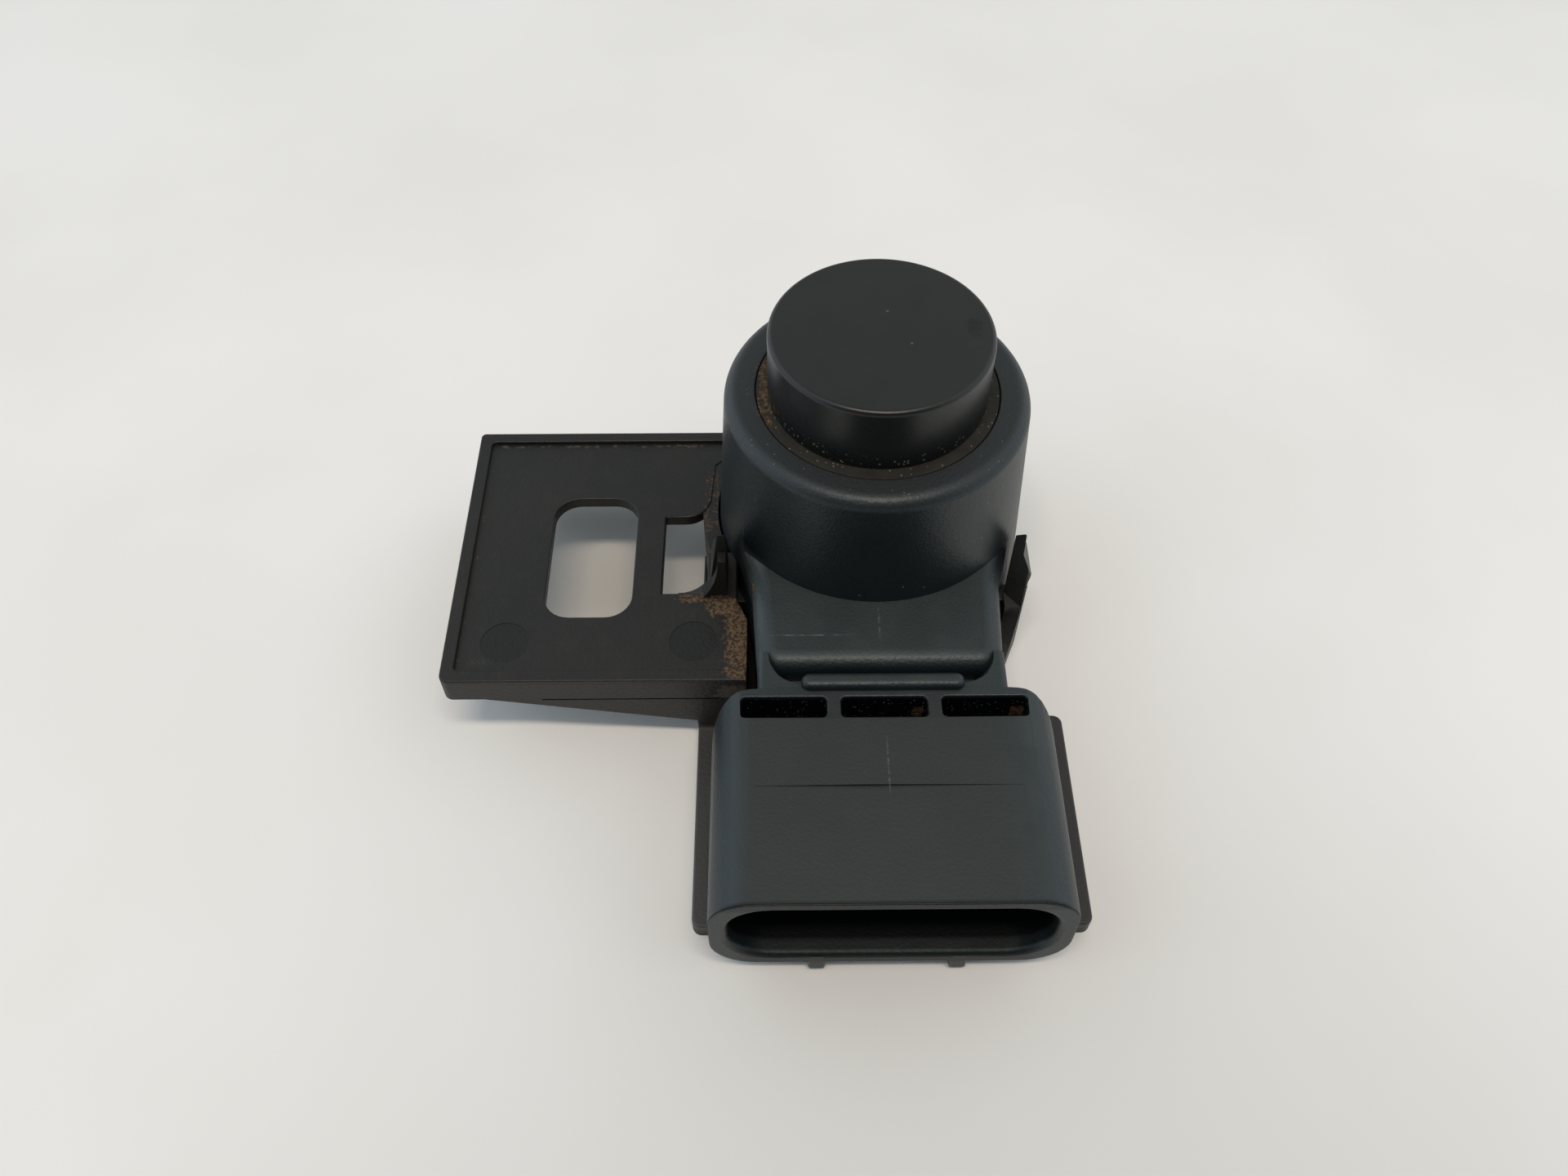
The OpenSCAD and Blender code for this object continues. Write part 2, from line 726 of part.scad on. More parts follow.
module transducer_filler() {
    color("#c9c6bb") difference() {
        translate([0, 0, filler_z]) cylinder(h = felt_z - filler_z, r = filler_r);
        pin_holes(filler_z, lead_d + 2 * fit_gap, felt_z - filler_z);
    }
}

module terminal_carrier() {
    color("#2b2b2d") difference() {
        translate([0, 0, can_z]) cylinder(h = carrier_t, r = filler_r);
        pin_holes(can_z, pin_d + 2 * fit_gap, carrier_t);
    }
}

// Round holes right through a piece at both pins
module pin_holes(low, d, h) {
    for (x = pin_places())
        translate([x, 0, low - cut]) cylinder(h = h + 2 * cut, d = d);
}

module transducer_pins() {
    color("#c8b878") for (x = pin_places())
        translate([x, 0, board_z - part_gap]) cylinder(h = filler_z - board_z + part_gap, d = pin_d);
}

module piezo_leads() {
    color("#b87333") for (x = pin_places())
        translate([x, 0, filler_z]) cylinder(h = piezo_z - filler_z, d = lead_d);
}

module circuit_board() {
    color("#1f5a35") difference() {
        span([-board_w / 2, board_front, board_z], [board_w / 2, board_back, board_top_z]);
        pin_holes(board_z, pin_d + 2 * fit_gap, board_t);
        for (x = blade_places())
            span([x - blade_t / 2 - fit_gap, tail_y - blade_t / 2 - fit_gap, board_z - cut],
                [x + blade_t / 2 + fit_gap, tail_y + blade_t / 2 + fit_gap, board_top_z + cut]);
    }
}

module signal_chip() {
    pitch = chip_l / chip_leads;
    color("#202022") {
        translate([-chip_l / 2, chip_y - chip_w / 2, board_z - chip_h]) cube([chip_l, chip_w, chip_h]);
        for (i = [0:chip_leads - 1])
            translate([(i + 1 / 2) * pitch - chip_l / 2, chip_y, board_z - chip_h / 4])
                cube([chip_lead_w, chip_w + part_gap, chip_h / 2], center = true);
    }
}

module transformer_core() {
    color("#3a3a3c") translate([0, core_y, board_z]) {
        difference() {
            translate([-core_w / 2, -core_w / 2, -core_h]) cube([core_w, core_w, core_h]);
            translate([0, 0, core_wall - core_h]) cylinder(h = core_h, r = core_w / 2 - core_wall);
        }
        translate([0, 0, -core_h]) cylinder(h = core_h, d = core_post_d);
    }
}

// Spool in the core, between the core's floor and the board
module transformer_bobbin() {
    in_r = core_post_d / 2 + fit_gap;
    out_r = core_w / 2 - core_wall - fit_gap;
    low = core_wall - core_h;
    color("#d8d2c0") translate([0, core_y, board_z]) rotate_extrude() polygon([
        [in_r, low],
        [out_r, low],
        [out_r, low + bobbin_wall],
        [in_r + bobbin_wall, low + bobbin_wall],
        [in_r + bobbin_wall, -bobbin_wall],
        [out_r, -bobbin_wall],
        [out_r, 0],
        [in_r, 0]]);
}

module transformer_winding() {
    in_r = core_post_d / 2 + 2 * fit_gap + bobbin_wall;
    out_r = core_w / 2 - core_wall - 2 * fit_gap;
    low = core_wall - core_h + bobbin_wall;
    color("#b5652b") translate([0, core_y, board_z]) difference() {
        translate([0, 0, low]) cylinder(h = -bobbin_wall - low, r = out_r);
        translate([0, 0, low - cut]) cylinder(h = core_h + cut, r = in_r);
    }
}

module storage_capacitor() {
    color("#c9a13b") translate([storage_x - storage_w / 2, chip_y - storage_l / 2, board_z - storage_h])
        cube([storage_w, storage_l, storage_h]);
}

module ceramic_capacitors() {
    color("#a98f6b") for (y = ceramic_ys)
        translate([-small_x - ceramic_w / 2, y - ceramic_l / 2, board_z - ceramic_w])
            cube([ceramic_w, ceramic_l, ceramic_w]);
}

module chip_resistors() {
    color("#26262a") for (y = resistor_ys)
        translate([small_x - resistor_w / 2, y - resistor_l / 2, board_z - resistor_h])
            cube([resistor_w, resistor_l, resistor_h]);
}

// Flat blades that turn up through the circuit board
module socket_terminals() {
    color("#c9c5b6") for (x = blade_places()) {
        difference() {
            span([x - blade_w / 2, cavity_y - blade_l, blade_z],
                [x + blade_w / 2, tail_y + blade_t / 2, blade_z + blade_t]);
            for (side = [-1, 1])
                translate([x + side * blade_w / 2, cavity_y - blade_l, blade_z])
                    rotate(45) cube([blade_t, blade_t, 2 * blade_t + cut], center = true);
        }
        span([x - blade_t / 2, tail_y - blade_t / 2, blade_z],
            [x + blade_t / 2, tail_y + blade_t / 2, board_top_z + part_gap]);
    }
}

module potting_compound() {
    g = fit_gap;
    color("#17181a") difference() {
        intersection() {
            chamber(seat_z + socket_lift, g);
            span([-barrel_d, -barrel_d, seat_z], [barrel_d, barrel_d, board_z]);
        }
        pin_holes(board_z - 2 * part_gap, pin_d + 2 * g, board_t);
        pocket_for(0, core_y, core_w + 2 * g, core_w + 2 * g, core_h + g);
        pocket_for(0, chip_y, chip_l + 2 * g, chip_w + part_gap + 2 * g, chip_h + g);
        pocket_for(storage_x, chip_y, storage_w + 2 * g, storage_l + 2 * g, storage_h + g);
        for (y = ceramic_ys)
            pocket_for(-small_x, y, ceramic_w + 2 * g, ceramic_l + 2 * g, ceramic_w + g);
        for (y = resistor_ys)
            pocket_for(small_x, y, resistor_w + 2 * g, resistor_l + 2 * g, resistor_h + g);
        for (x = blade_places()) {
            span([x - blade_w / 2 - g, chamber_y - cut, blade_z - g],
                [x + blade_w / 2 + g, tail_y + blade_t / 2 + g, blade_z + blade_t + g]);
            pocket_for(x, tail_y, blade_t + 2 * g, blade_t + 2 * g, board_z - blade_z + g);
        }
    }
}

// Pocket in the potting's top around a part that hangs from the circuit board
module pocket_for(x, y, w, l, h) {
    span([x - w / 2, y - l / 2, board_z - h], [x + w / 2, y + l / 2, board_z + cut]);
}

bracket();
sensor_housing();
transducer_can();
isolation_sleeve();
piezo_disc();
damping_felt();
transducer_filler();
terminal_carrier();
transducer_pins();
piezo_leads();
circuit_board();
signal_chip();
transformer_core();
transformer_bobbin();
transformer_winding();
storage_capacitor();
ceramic_capacitors();
chip_resistors();
socket_terminals();
potting_compound();
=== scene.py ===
import math
import bmesh
import bpy
from mathutils import Matrix, Vector


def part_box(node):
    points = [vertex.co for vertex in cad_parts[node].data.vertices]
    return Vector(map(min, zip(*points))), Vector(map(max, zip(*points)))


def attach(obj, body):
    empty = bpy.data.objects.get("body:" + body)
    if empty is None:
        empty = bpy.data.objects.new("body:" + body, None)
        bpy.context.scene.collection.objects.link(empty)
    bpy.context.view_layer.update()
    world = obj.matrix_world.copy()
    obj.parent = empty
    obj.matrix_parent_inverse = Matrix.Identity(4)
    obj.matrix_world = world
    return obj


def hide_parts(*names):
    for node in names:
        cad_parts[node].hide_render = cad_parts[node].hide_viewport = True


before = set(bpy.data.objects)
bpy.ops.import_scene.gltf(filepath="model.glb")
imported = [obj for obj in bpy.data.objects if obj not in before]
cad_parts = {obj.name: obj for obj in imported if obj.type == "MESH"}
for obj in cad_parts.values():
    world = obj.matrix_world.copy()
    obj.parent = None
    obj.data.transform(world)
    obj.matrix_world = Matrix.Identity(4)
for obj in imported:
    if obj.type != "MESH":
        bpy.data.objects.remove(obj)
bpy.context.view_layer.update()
print("frame loaded:", len(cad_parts), "nodes")

# Lengths are written in millimetres and brought to metres when a piece is finished
mm = 0.001
# Points closer than tiny are one, and points closer than near are on one level
tiny = 1e-4
near = 3e-3
# Cutters stand out of a face by the gap, and run at least the overrun past what they cut
gap = 4e-3
overrun = 1
# Edges that turn less than this, in radians, are not rounded
leastTurn = 0.5
# Edges that turn less than this are shaded smooth
smoothTurn = math.radians(32)
# Steps in a full turn
roundSteps = 144


def corners(node):
    low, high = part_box(node)
    return low / mm, high / mm


housingLow, housingHigh = corners("sensor_housing")
bracketLow, bracketHigh = corners("bracket")
canLow, canHigh = corners("transducer_can")
sleeveLow, sleeveHigh = corners("isolation_sleeve")


# Shaping: flat outlines, raised or turned, with rounded edges

def inPlan(z):
    return lambda x, y: Vector((x, y, z))


def acrossY(y):
    return lambda x, z: Vector((x, y, z))


def acrossX(x):
    return lambda y, z: Vector((x, y, z))


def outline(points, place, rounds=(), segments=8):
    bm = bmesh.new()
    bm.faces.new([bm.verts.new(place(*point)) for point in points])
    for corner, radius in rounds:  # corner point and its radius
        spot = place(*corner)
        vert = min(bm.verts, key=lambda v: (v.co - spot).length)
        bmesh.ops.bevel(bm, geom=[vert], offset=radius, offset_type="OFFSET", affect="VERTICES",
            segments=segments, profile=0.5, material=-1)
    return bm


def raised(bm, run):
    grown = bmesh.ops.extrude_face_region(bm, geom=bm.faces[:])["geom"]
    bmesh.ops.translate(bm, verts=[g for g in grown if isinstance(g, bmesh.types.BMVert)], vec=run)
    bmesh.ops.recalc_face_normals(bm, faces=bm.faces[:])
    return bm


def slab(points, low, high, rounds=()):
    return raised(outline(points, inPlan(low), rounds), Vector((0, 0, high - low)))


def runY(points, low, high, rounds=()):
    return raised(outline(points, acrossY(low), rounds), Vector((0, high - low, 0)))


def runX(points, low, high, rounds=()):
    return raised(outline(points, acrossX(low), rounds), Vector((high - low, 0, 0)))


def span(low, high):
    bm = bmesh.new()
    low, high = Vector(low), Vector(high)
    bmesh.ops.create_cube(bm, size=1)
    bmesh.ops.scale(bm, verts=bm.verts[:], vec=high - low)
    bmesh.ops.translate(bm, verts=bm.verts[:], vec=(low + high) / 2)
    return bm


def rectangle(left, right, low, high):
    return [(left, low), (right, low), (right, high), (left, high)]


def allRound(points, radius):
    return [(point, radius) for point in points]


def turned(points, rounds=(), segments=8):
    bm = outline(points, acrossY(0), rounds, segments)
    bmesh.ops.delete(bm, geom=bm.faces[:], context="FACES_ONLY")
    onAxis = [e for e in bm.edges if all(abs(v.co.x) < tiny for v in e.verts)]
    bmesh.ops.delete(bm, geom=onAxis, context="EDGES")
    bmesh.ops.spin(bm, geom=bm.verts[:] + bm.edges[:], cent=(0, 0, 0), axis=(0, 0, 1), dvec=(0, 0, 0),
        angle=2 * math.pi, steps=roundSteps, use_merge=True)
    bmesh.ops.remove_doubles(bm, verts=bm.verts[:], dist=tiny)
    bmesh.ops.recalc_face_normals(bm, faces=bm.faces[:])
    return bm


def soften(bm, test, radius, segments=3):
    bm.normal_update()
    picked = []
    for edge in bm.edges:
        if edge.calc_face_angle(0) > leastTurn and test(*[v.co for v in edge.verts]):
            picked.append(edge)
    bmesh.ops.bevel(bm, geom=picked, offset=radius, offset_type="OFFSET", affect="EDGES",
        segments=segments, profile=0.5, material=-1, clamp_overlap=True)
    return bm


def hollowCutter(halfX, halfY, cornerR, depth, rimR, segments=4):
    # a cutter for a hollow below z 0, its rim opening out in a round at z 0
    margin = 2 * rimR
    wide = rectangle(-halfX - margin, halfX + margin, -halfY - margin, halfY + margin)
    bm = slab(wide, 0, overrun, allRound(wide, cornerR + margin))
    bm.faces.ensure_lookup_table()
    under = min(bm.faces, key=lambda f: f.calc_center_median().z)
    bmesh.ops.inset_region(bm, faces=[under], thickness=margin, use_even_offset=True)
    rim = under.edges[:]
    deep = bmesh.ops.extrude_discrete_faces(bm, faces=[under])["faces"]
    bmesh.ops.translate(bm, verts=deep[0].verts[:], vec=(0, 0, -depth))
    bmesh.ops.recalc_face_normals(bm, faces=bm.faces[:])
    bmesh.ops.bevel(bm, geom=rim, offset=rimR, offset_type="OFFSET", affect="EDGES",
        segments=segments, profile=0.5, material=-1)
    return bm


def levelAt(z):
    return lambda a, b: abs(a.z - z) < near and abs(b.z - z) < near


def anyEdge(a, b):
    return True


def quarterTurn(steps=10):
    # the sine and the cosine at each step of a quarter turn
    turns = [math.pi / 2 * i / steps for i in range(steps + 1)]
    return [(math.sin(turn), math.cos(turn)) for turn in turns]


def asObject(bm, name):
    mesh = bpy.data.meshes.new(name)
    bm.to_mesh(mesh)
    bm.free()
    piece = bpy.data.objects.new(name, mesh)
    bpy.context.scene.collection.objects.link(piece)
    return piece


def applied(piece, *helpers):
    # the piece's mesh with its modifiers, as a bmesh, and nothing left behind
    bm = bmesh.new()
    bm.from_mesh(piece.evaluated_get(bpy.context.evaluated_depsgraph_get()).to_mesh())
    for spent in (piece, *helpers):
        mesh = spent.data
        bpy.data.objects.remove(spent)
        bpy.data.meshes.remove(mesh)
    return bm


def combined(base, tool, how):
    for bm in (base, tool):
        bmesh.ops.triangulate(bm, faces=bm.faces[:])
    piece, helper = asObject(base, "base"), asObject(tool, "tool")
    work = piece.modifiers.new("work", "BOOLEAN")
    work.object = helper
    work.operation = how
    work.solver = "EXACT"
    bm = applied(piece, helper)
    # weld the seam and clear the edges inside flat faces
    bmesh.ops.remove_doubles(bm, verts=bm.verts[:], dist=5 * tiny)
    bmesh.ops.dissolve_limit(bm, angle_limit=math.radians(0.2), verts=bm.verts[:], edges=bm.edges[:])
    return bm


def joined(base, *tools):
    for tool in tools:
        base = combined(base, tool, "UNION")
    return base


def without(base, *tools):
    for tool in tools:
        base = combined(base, tool, "DIFFERENCE")
    return base


def mirrored(bm):
    bmesh.ops.scale(bm, verts=bm.verts[:], vec=(-1, 1, 1))
    bmesh.ops.recalc_face_normals(bm, faces=bm.faces[:])
    return bm


def finished(bm, name, node, material):
    bmesh.ops.scale(bm, verts=bm.verts[:], vec=(mm, mm, mm))
    piece = asObject(bm, name)
    piece.data.materials.append(material)
    piece.data.polygons.foreach_set("use_smooth", [True] * len(piece.data.polygons))
    piece.data.set_sharp_from_angle(angle=smoothTurn)
    flat = piece.modifiers.new("evenFlats", "WEIGHTED_NORMAL")
    flat.keep_sharp = True
    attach(piece, "root")
    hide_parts(node)
    print(name, "made:", len(piece.data.polygons), "faces")
    return piece


# Finishes: procedural, on object coordinates brought to millimetres

def linear(code):
    parts = [int(code[i:i + 2], 16) / 255 for i in (1, 3, 5)]
    return [c / 12.92 if c <= 0.04045 else ((c + 0.055) / 1.055) ** 2.4 for c in parts] + [1]


def add(tree, kind, result, inputs=None, **settings):
    # an input is a socket to link, a hex colour or a plain value
    node = tree.nodes.new("ShaderNode" + kind)
    for name, value in settings.items():
        setattr(node, name, value)
    for key, value in (inputs or {}).items():
        if isinstance(value, bpy.types.NodeSocket):
            tree.links.new(value, node.inputs[key])
        else:
            node.inputs[key].default_value = linear(value) if isinstance(value, str) else value
    return node.outputs[result]


def startFinish(name):
    material = bpy.data.materials.new(name)
    material.use_nodes = True
    tree = material.node_tree
    where = add(tree, "TexCoord", "Object")
    where = add(tree, "VectorMath", 0, {0: where, "Scale": 1 / mm}, operation="SCALE")
    return material, tree, where


def stain(tree, where, size, detail, start, end):
    cloud = add(tree, "TexNoise", "Fac", {"Vector": where, "Scale": 1 / size, "Detail": detail})
    return add(tree, "MapRange", 0, {"Value": cloud, "From Min": start, "From Max": end},
        interpolation_type="SMOOTHSTEP")


def patch(tree, where, centre, half, soft):
    # a soft-edged box, in mm
    away = add(tree, "VectorMath", 0, {0: where, 1: centre}, operation="SUBTRACT")
    away = add(tree, "VectorMath", 0, {0: away}, operation="ABSOLUTE")
    outer = [h + s for h, s in zip(half, soft)]
    inner = [h - s for h, s in zip(half, soft)]
    inside = add(tree, "MapRange", 1, {6: away, 7: outer, 8: inner}, data_type="FLOAT_VECTOR",
        interpolation_type="SMOOTHSTEP")
    shares = add(tree, "SeparateXYZ", 0, {0: inside}).node.outputs
    inPlane = add(tree, "Math", 0, {0: shares[0], 1: shares[1]}, operation="MULTIPLY")
    return add(tree, "Math", 0, {0: inPlane, 1: shares[2]}, operation="MULTIPLY")


def ragged(tree, where, centre, half, soft, size, cover):
    # the same box broken up by a cloud: cover 0 fills almost none of it, 0.5 half and 1 almost all
    box = patch(tree, where, centre, half, soft)
    cloud = add(tree, "TexNoise", "Fac", {"Vector": where, "Scale": 1 / size, "Detail": 6})
    total = add(tree, "Math", 0, {0: box, 1: cloud}, operation="ADD")
    edge = 1.75 - 0.5 * cover
    return add(tree, "MapRange", 0, {"Value": total, "From Min": edge - 0.1, "From Max": edge + 0.1},
        interpolation_type="SMOOTHSTEP")


def disc(tree, where, centre, radius, soft):
    away = add(tree, "VectorMath", 0, {0: where, 1: centre}, operation="SUBTRACT")
    away = add(tree, "VectorMath", 0, {0: away, 1: (1, 1, 0)}, operation="MULTIPLY")
    reach = add(tree, "VectorMath", "Value", {0: away}, operation="LENGTH")
    return add(tree, "MapRange", 0, {"Value": reach, "From Min": radius + soft, "From Max": radius - soft},
        interpolation_type="SMOOTHSTEP")


def specks(tree, where, spacing, size, share):
    cells = add(tree, "TexVoronoi", "Distance", {"Vector": where, "Scale": 1 / spacing})
    edge = size / spacing
    dot = add(tree, "MapRange", 0, {"Value": cells, "From Min": edge, "From Max": 0.5 * edge})
    chance = add(tree, "SeparateColor", 0, {0: cells.node.outputs["Color"]})
    chosen = add(tree, "Math", 0, {0: chance, 1: share}, operation="LESS_THAN")
    return add(tree, "Math", 0, {0: dot, 1: chosen}, operation="MULTIPLY")


def facingUp(tree, start, end):
    up = add(tree, "SeparateXYZ", 2, {0: add(tree, "TexCoord", "Normal")})
    return add(tree, "MapRange", 0, {"Value": up, "From Min": start, "From Max": end},
        interpolation_type="SMOOTHSTEP")


def coat(tree, colour, tint, *masks):
    # lays the tint over the colour where all the masks are
    amount = masks[0]
    for mask in masks[1:]:
        amount = add(tree, "Math", 0, {0: amount, 1: mask}, operation="MULTIPLY")
    return add(tree, "Mix", 2, {0: amount, 6: colour, 7: tint}, data_type="RGBA")


def dress(tree, colour, rough, dirt, grain, depth, ior=1.5):
    # dirt makes the surface dull
    shader = tree.nodes["Principled BSDF"]
    sheen = add(tree, "MapRange", 0, {"Value": grain, "To Min": rough[0], "To Max": rough[1]})
    dull = add(tree, "Math", 0, {0: dirt, 1: earth["rough"]}, operation="MULTIPLY")
    sheen = add(tree, "Math", 0, {0: sheen, 1: dull}, operation="MAXIMUM")
    bump = add(tree, "Bump", 0, {"Height": grain, "Distance": depth * mm})
    for name, value in (("Base Color", colour), ("Roughness", sheen), ("Normal", bump)):
        tree.links.new(value, shader.inputs[name])
    shader.inputs["IOR"].default_value = ior
    return shader


# Dirt spots below: centre, half size and softness in mm, then the cloud's size and how much is filled
# Clouds below: size in mm, detail, and the values at which the second tone starts and is full
earth = {"tones": ("#2a2119", "#66513a"), "cloud": (0.22, 3, 0.35, 0.65), "dust": "#57524a",
    "speck": "#706c63", "rough": 0.9}


def soil(tree, where, colour, spots):
    # dried road dirt, fine-grained and tan
    grit = stain(tree, where, *earth["cloud"])
    tint = coat(tree, *earth["tones"], grit)
    dirt = 0.0
    for spot in spots:
        here = ragged(tree, where, *spot)
        colour = coat(tree, colour, tint, here)
        dirt = add(tree, "Math", 0, {0: dirt, 1: here}, operation="MAXIMUM")
    return colour, dirt


nylon = {
    "tones": ("#0b1113", "#10171a"), "toneCloud": (7, 3, 0.35, 0.65), "rough": (0.39, 0.49), "ior": 1.58,
    "film": ("#242928", "#2c3130"), "filmCloud": (2.5, 5, 0.3, 0.7), "tops": (0.72, 0.98), "topsDull": 0.6,
    "grain": 0.22, "grainDepth": 0.03, "shineTint": "#e8f6fa", "shine": 0.5, "hollowShine": 0.1,
    "socketDust": ("#262420", 0.7, (-2, -28, 11.3), (10.5, 8.2, 1), (2, 0.6, 0.3)),
    "faces": [("#202122", (0, 0, 21.6), (12, 12, 0.5), (1, 1, 0.3)),  # shoulder
        ("#3d4443", (-9.4, -11.5, 9.6), (0.9, 6, 1.6), (0.4, 1.5, 0.6))],  # painted light on the left wall of the block
    "hollowShade": "#060708", "line": "#5b6163", "lineCloud": (0.5, 4, 0.35, 0.75),
    # painted shade, with its share: the pockets, the cavity, the mouth's floor and the top lip's edge
    "dark": [(1.0, (0, -20.85, 9.2), (10.3, 1.0, 1.75), (0.1, 0.1, 0.15)),
        (1.0, (0, -28.55, 6.6), (10.95, 5.75, 3.8), (0.1, 0.3, 0.1)),
        (0.55, (0, -35.0, 3.0), (10.0, 1.0, 1.2), (1.0, 0.2, 0.3)),
        (0.45, (0, -35.4, 11.0), (11.0, 0.25, 0.6), (0.5, 0.1, 0.2))],
    "soil": [((-8.6, 0.0, 21.5), (0.9, 4.5, 0.5), (0.9, 2.5, 0.3), 0.3, 0.35),
        ((2.5, -20.4, 9.3), (0.5, 0.9, 0.8), (0.3, 0.3, 0.4), 0.4, 0.8),
        ((9.5, -20.4, 9.3), (0.6, 0.9, 0.8), (0.3, 0.3, 0.4), 0.4, 0.8),
        ((-9.2, -10.2, 10.2), (0.4, 1.4, 0.7), (0.3, 0.8, 0.5), 0.6, 0.5)],
    "specks": [((0, -6, 21.6), (12, 6, 0.5), (0.5, 2, 0.3), 0.4, 0.06, 0.35),
        ((0, -10, 15), (9, 4, 5.5), (2, 1, 1), 1.5, 0.09, 0.25),
        ((0, -20.85, 9.2), (10.3, 1.0, 1.75), (0.1, 0.1, 0.15), 0.3, 0.07, 0.6)],
    "scratches": [((0, -13.6, 11.2), (0.05, 1.5, 0.2), (0.04, 0.3, 0.05)),
        ((0, -25.6, 11.5), (0.05, 2.1, 0.2), (0.04, 0.6, 0.05)),
        ((-5.1, -14.7, 11.2), (3.1, 0.05, 0.2), (1.2, 0.04, 0.05))],
}


def mouldedNylon(n):
    # Dark slate nylon: satin, near black on its walls; every top greyed by a film of dust and painted light
    material, tree, where = startFinish("mouldedNylon")
    grain = add(tree, "TexNoise", "Fac", {"Vector": where, "Scale": 1 / n["grain"], "Detail": 2})
    colour = coat(tree, *n["tones"], stain(tree, where, *n["toneCloud"]))
    film = coat(tree, *n["film"], stain(tree, where, *n["filmCloud"]))
    dust, share, *spot = n["socketDust"]
    film = coat(tree, film, dust, patch(tree, where, *spot), share)
    # painted light and dust: the lighter film on every face that looks up
    tops = facingUp(tree, *n["tops"])
    colour = coat(tree, colour, film, tops)
    for tint, *spot in n["faces"]:
        colour = coat(tree, colour, tint, patch(tree, where, *spot))
    # painted shade: the pockets, the cavity and the mouth's edges darkened towards black
    hollow = 0.0
    for share, *spot in n["dark"]:
        inside = add(tree, "Math", 0, {0: patch(tree, where, *spot), 1: share}, operation="MULTIPLY")
        colour = coat(tree, colour, n["hollowShade"], inside)
        hollow = add(tree, "Math", 0, {0: hollow, 1: inside}, operation="MAXIMUM")
    for spot in n["scratches"]:
        line = patch(tree, where, *spot)
        colour = coat(tree, colour, n["line"], line, stain(tree, where, *n["lineCloud"]))
    for centre, half, soft, *dots in n["specks"]:
        area = patch(tree, where, centre, half, soft)
        colour = coat(tree, colour, earth["speck"], area, specks(tree, where, *dots))
    colour, dirt = soil(tree, where, colour, n["soil"])
    dull = add(tree, "Math", 0, {0: tops, 1: n["topsDull"]}, operation="MULTIPLY")
    dull = add(tree, "Math", 0, {0: dull, 1: dirt}, operation="MAXIMUM")
    shader = dress(tree, colour, n["rough"], dull, grain, n["grainDepth"], n["ior"])
    shader.inputs["Specular Tint"].default_value = linear(n["shineTint"])
    # the painted shade in the hollows also takes their shine
    shine = add(tree, "MapRange", 0, {"Value": hollow, "To Min": n["shine"], "To Max": n["hollowShine"]})
    tree.links.new(shine, shader.inputs["Specular IOR Level"])
    return material


polypropylene = {
    "tones": ("#161613", "#1c1b18"), "toneCloud": (5, 3, 0.3, 0.7), "rough": (0.42, 0.54), "ior": 1.49,
    "grain": 0.3, "grainDepth": 0.04, "dustShare": 0.6,
    "faint": "#29251f", "faintCloud": (1.4, 6, 0.5, 0.8), "tops": (0.8, 0.98), "faintShare": 0.5,
    "faces": [("#424140", (0, -26, 1.3), (15, 12, 0.5), (0.5, 1, 0.2)),  # painted light on the strip of the base
        ("#2d2c2b", (11, -10.8, 3.5), (2, 2.4, 4), (0.3, 0.3, 0.5)),  # painted light on the right arm's foot
        ("#3a3c3c", (10.8, -7.4, 10), (1.4, 1.2, 4.8), (0.2, 0.3, 0.5)),  # painted light on the right arm
        ("#0b0b0a", (-12.9, -8.7, 11.6), (2.4, 0.9, 3.3), (0.2, 0.3, 0.2)),  # painted shade on the left arm's root
        ("#2f2e2d", (13, -26, 1.3), (3, 12, 0.5), (2, 1, 0.2))],  # painted shade on the right side of the strip
    "mark": "#0f0f0e", "markSoft": 0.06, "markArea": ((-20, -13, 8.2), (12, 4, 0.2), (1, 1, 0.1)),
    "soil": [((-9.9, -13.2, 8.2), (1.8, 3.6, 0.5), (1.6, 0.6, 0.2), 0.3, 1.1),
        ((-11.6, -9.9, 8.2), (1.6, 1.1, 0.6), (1.1, 0.7, 0.3), 0.35, 1.0),
        ((-13.6, -9.1, 8.2), (2.2, 0.6, 0.4), (1.6, 0.5, 0.2), 0.35, 0.8),
        ((-12.7, 0.5, 8.1), (0.9, 4.6, 0.5), (0.5, 2.0, 0.2), 0.25, 0.35),
        ((11.2, -7.4, 8.0), (1.0, 1.2, 1.2), (0.4, 0.2, 0.8), 0.2, 0.25),
        ((10.5, -11.8, 1.2), (0.5, 1.2, 1.4), (0.3, 0.4, 0.5), 0.6, 0.7)],
    "dust": [((-30.9, -4, 8.3), (0.45, 12, 0.3), (0.4, 1, 0.2), 0.4, 0.15),
        ((-22, 6.8, 8.3), (10, 0.4, 0.3), (2, 0.4, 0.2), 0.5, 0.45),
        ((-29.4, -14.9, 8.2), (2.2, 1.3, 0.3), (2.0, 1.2, 0.2), 0.1, 0.3),
        # dust at the right end of the plate's front, also painted light against the shade the socket casts
        # there
        ((-10.8, -16.7, 6.6), (1.9, 0.3, 1.8), (1.6, 0.2, 1.0), 0.35, 0.75)],
}


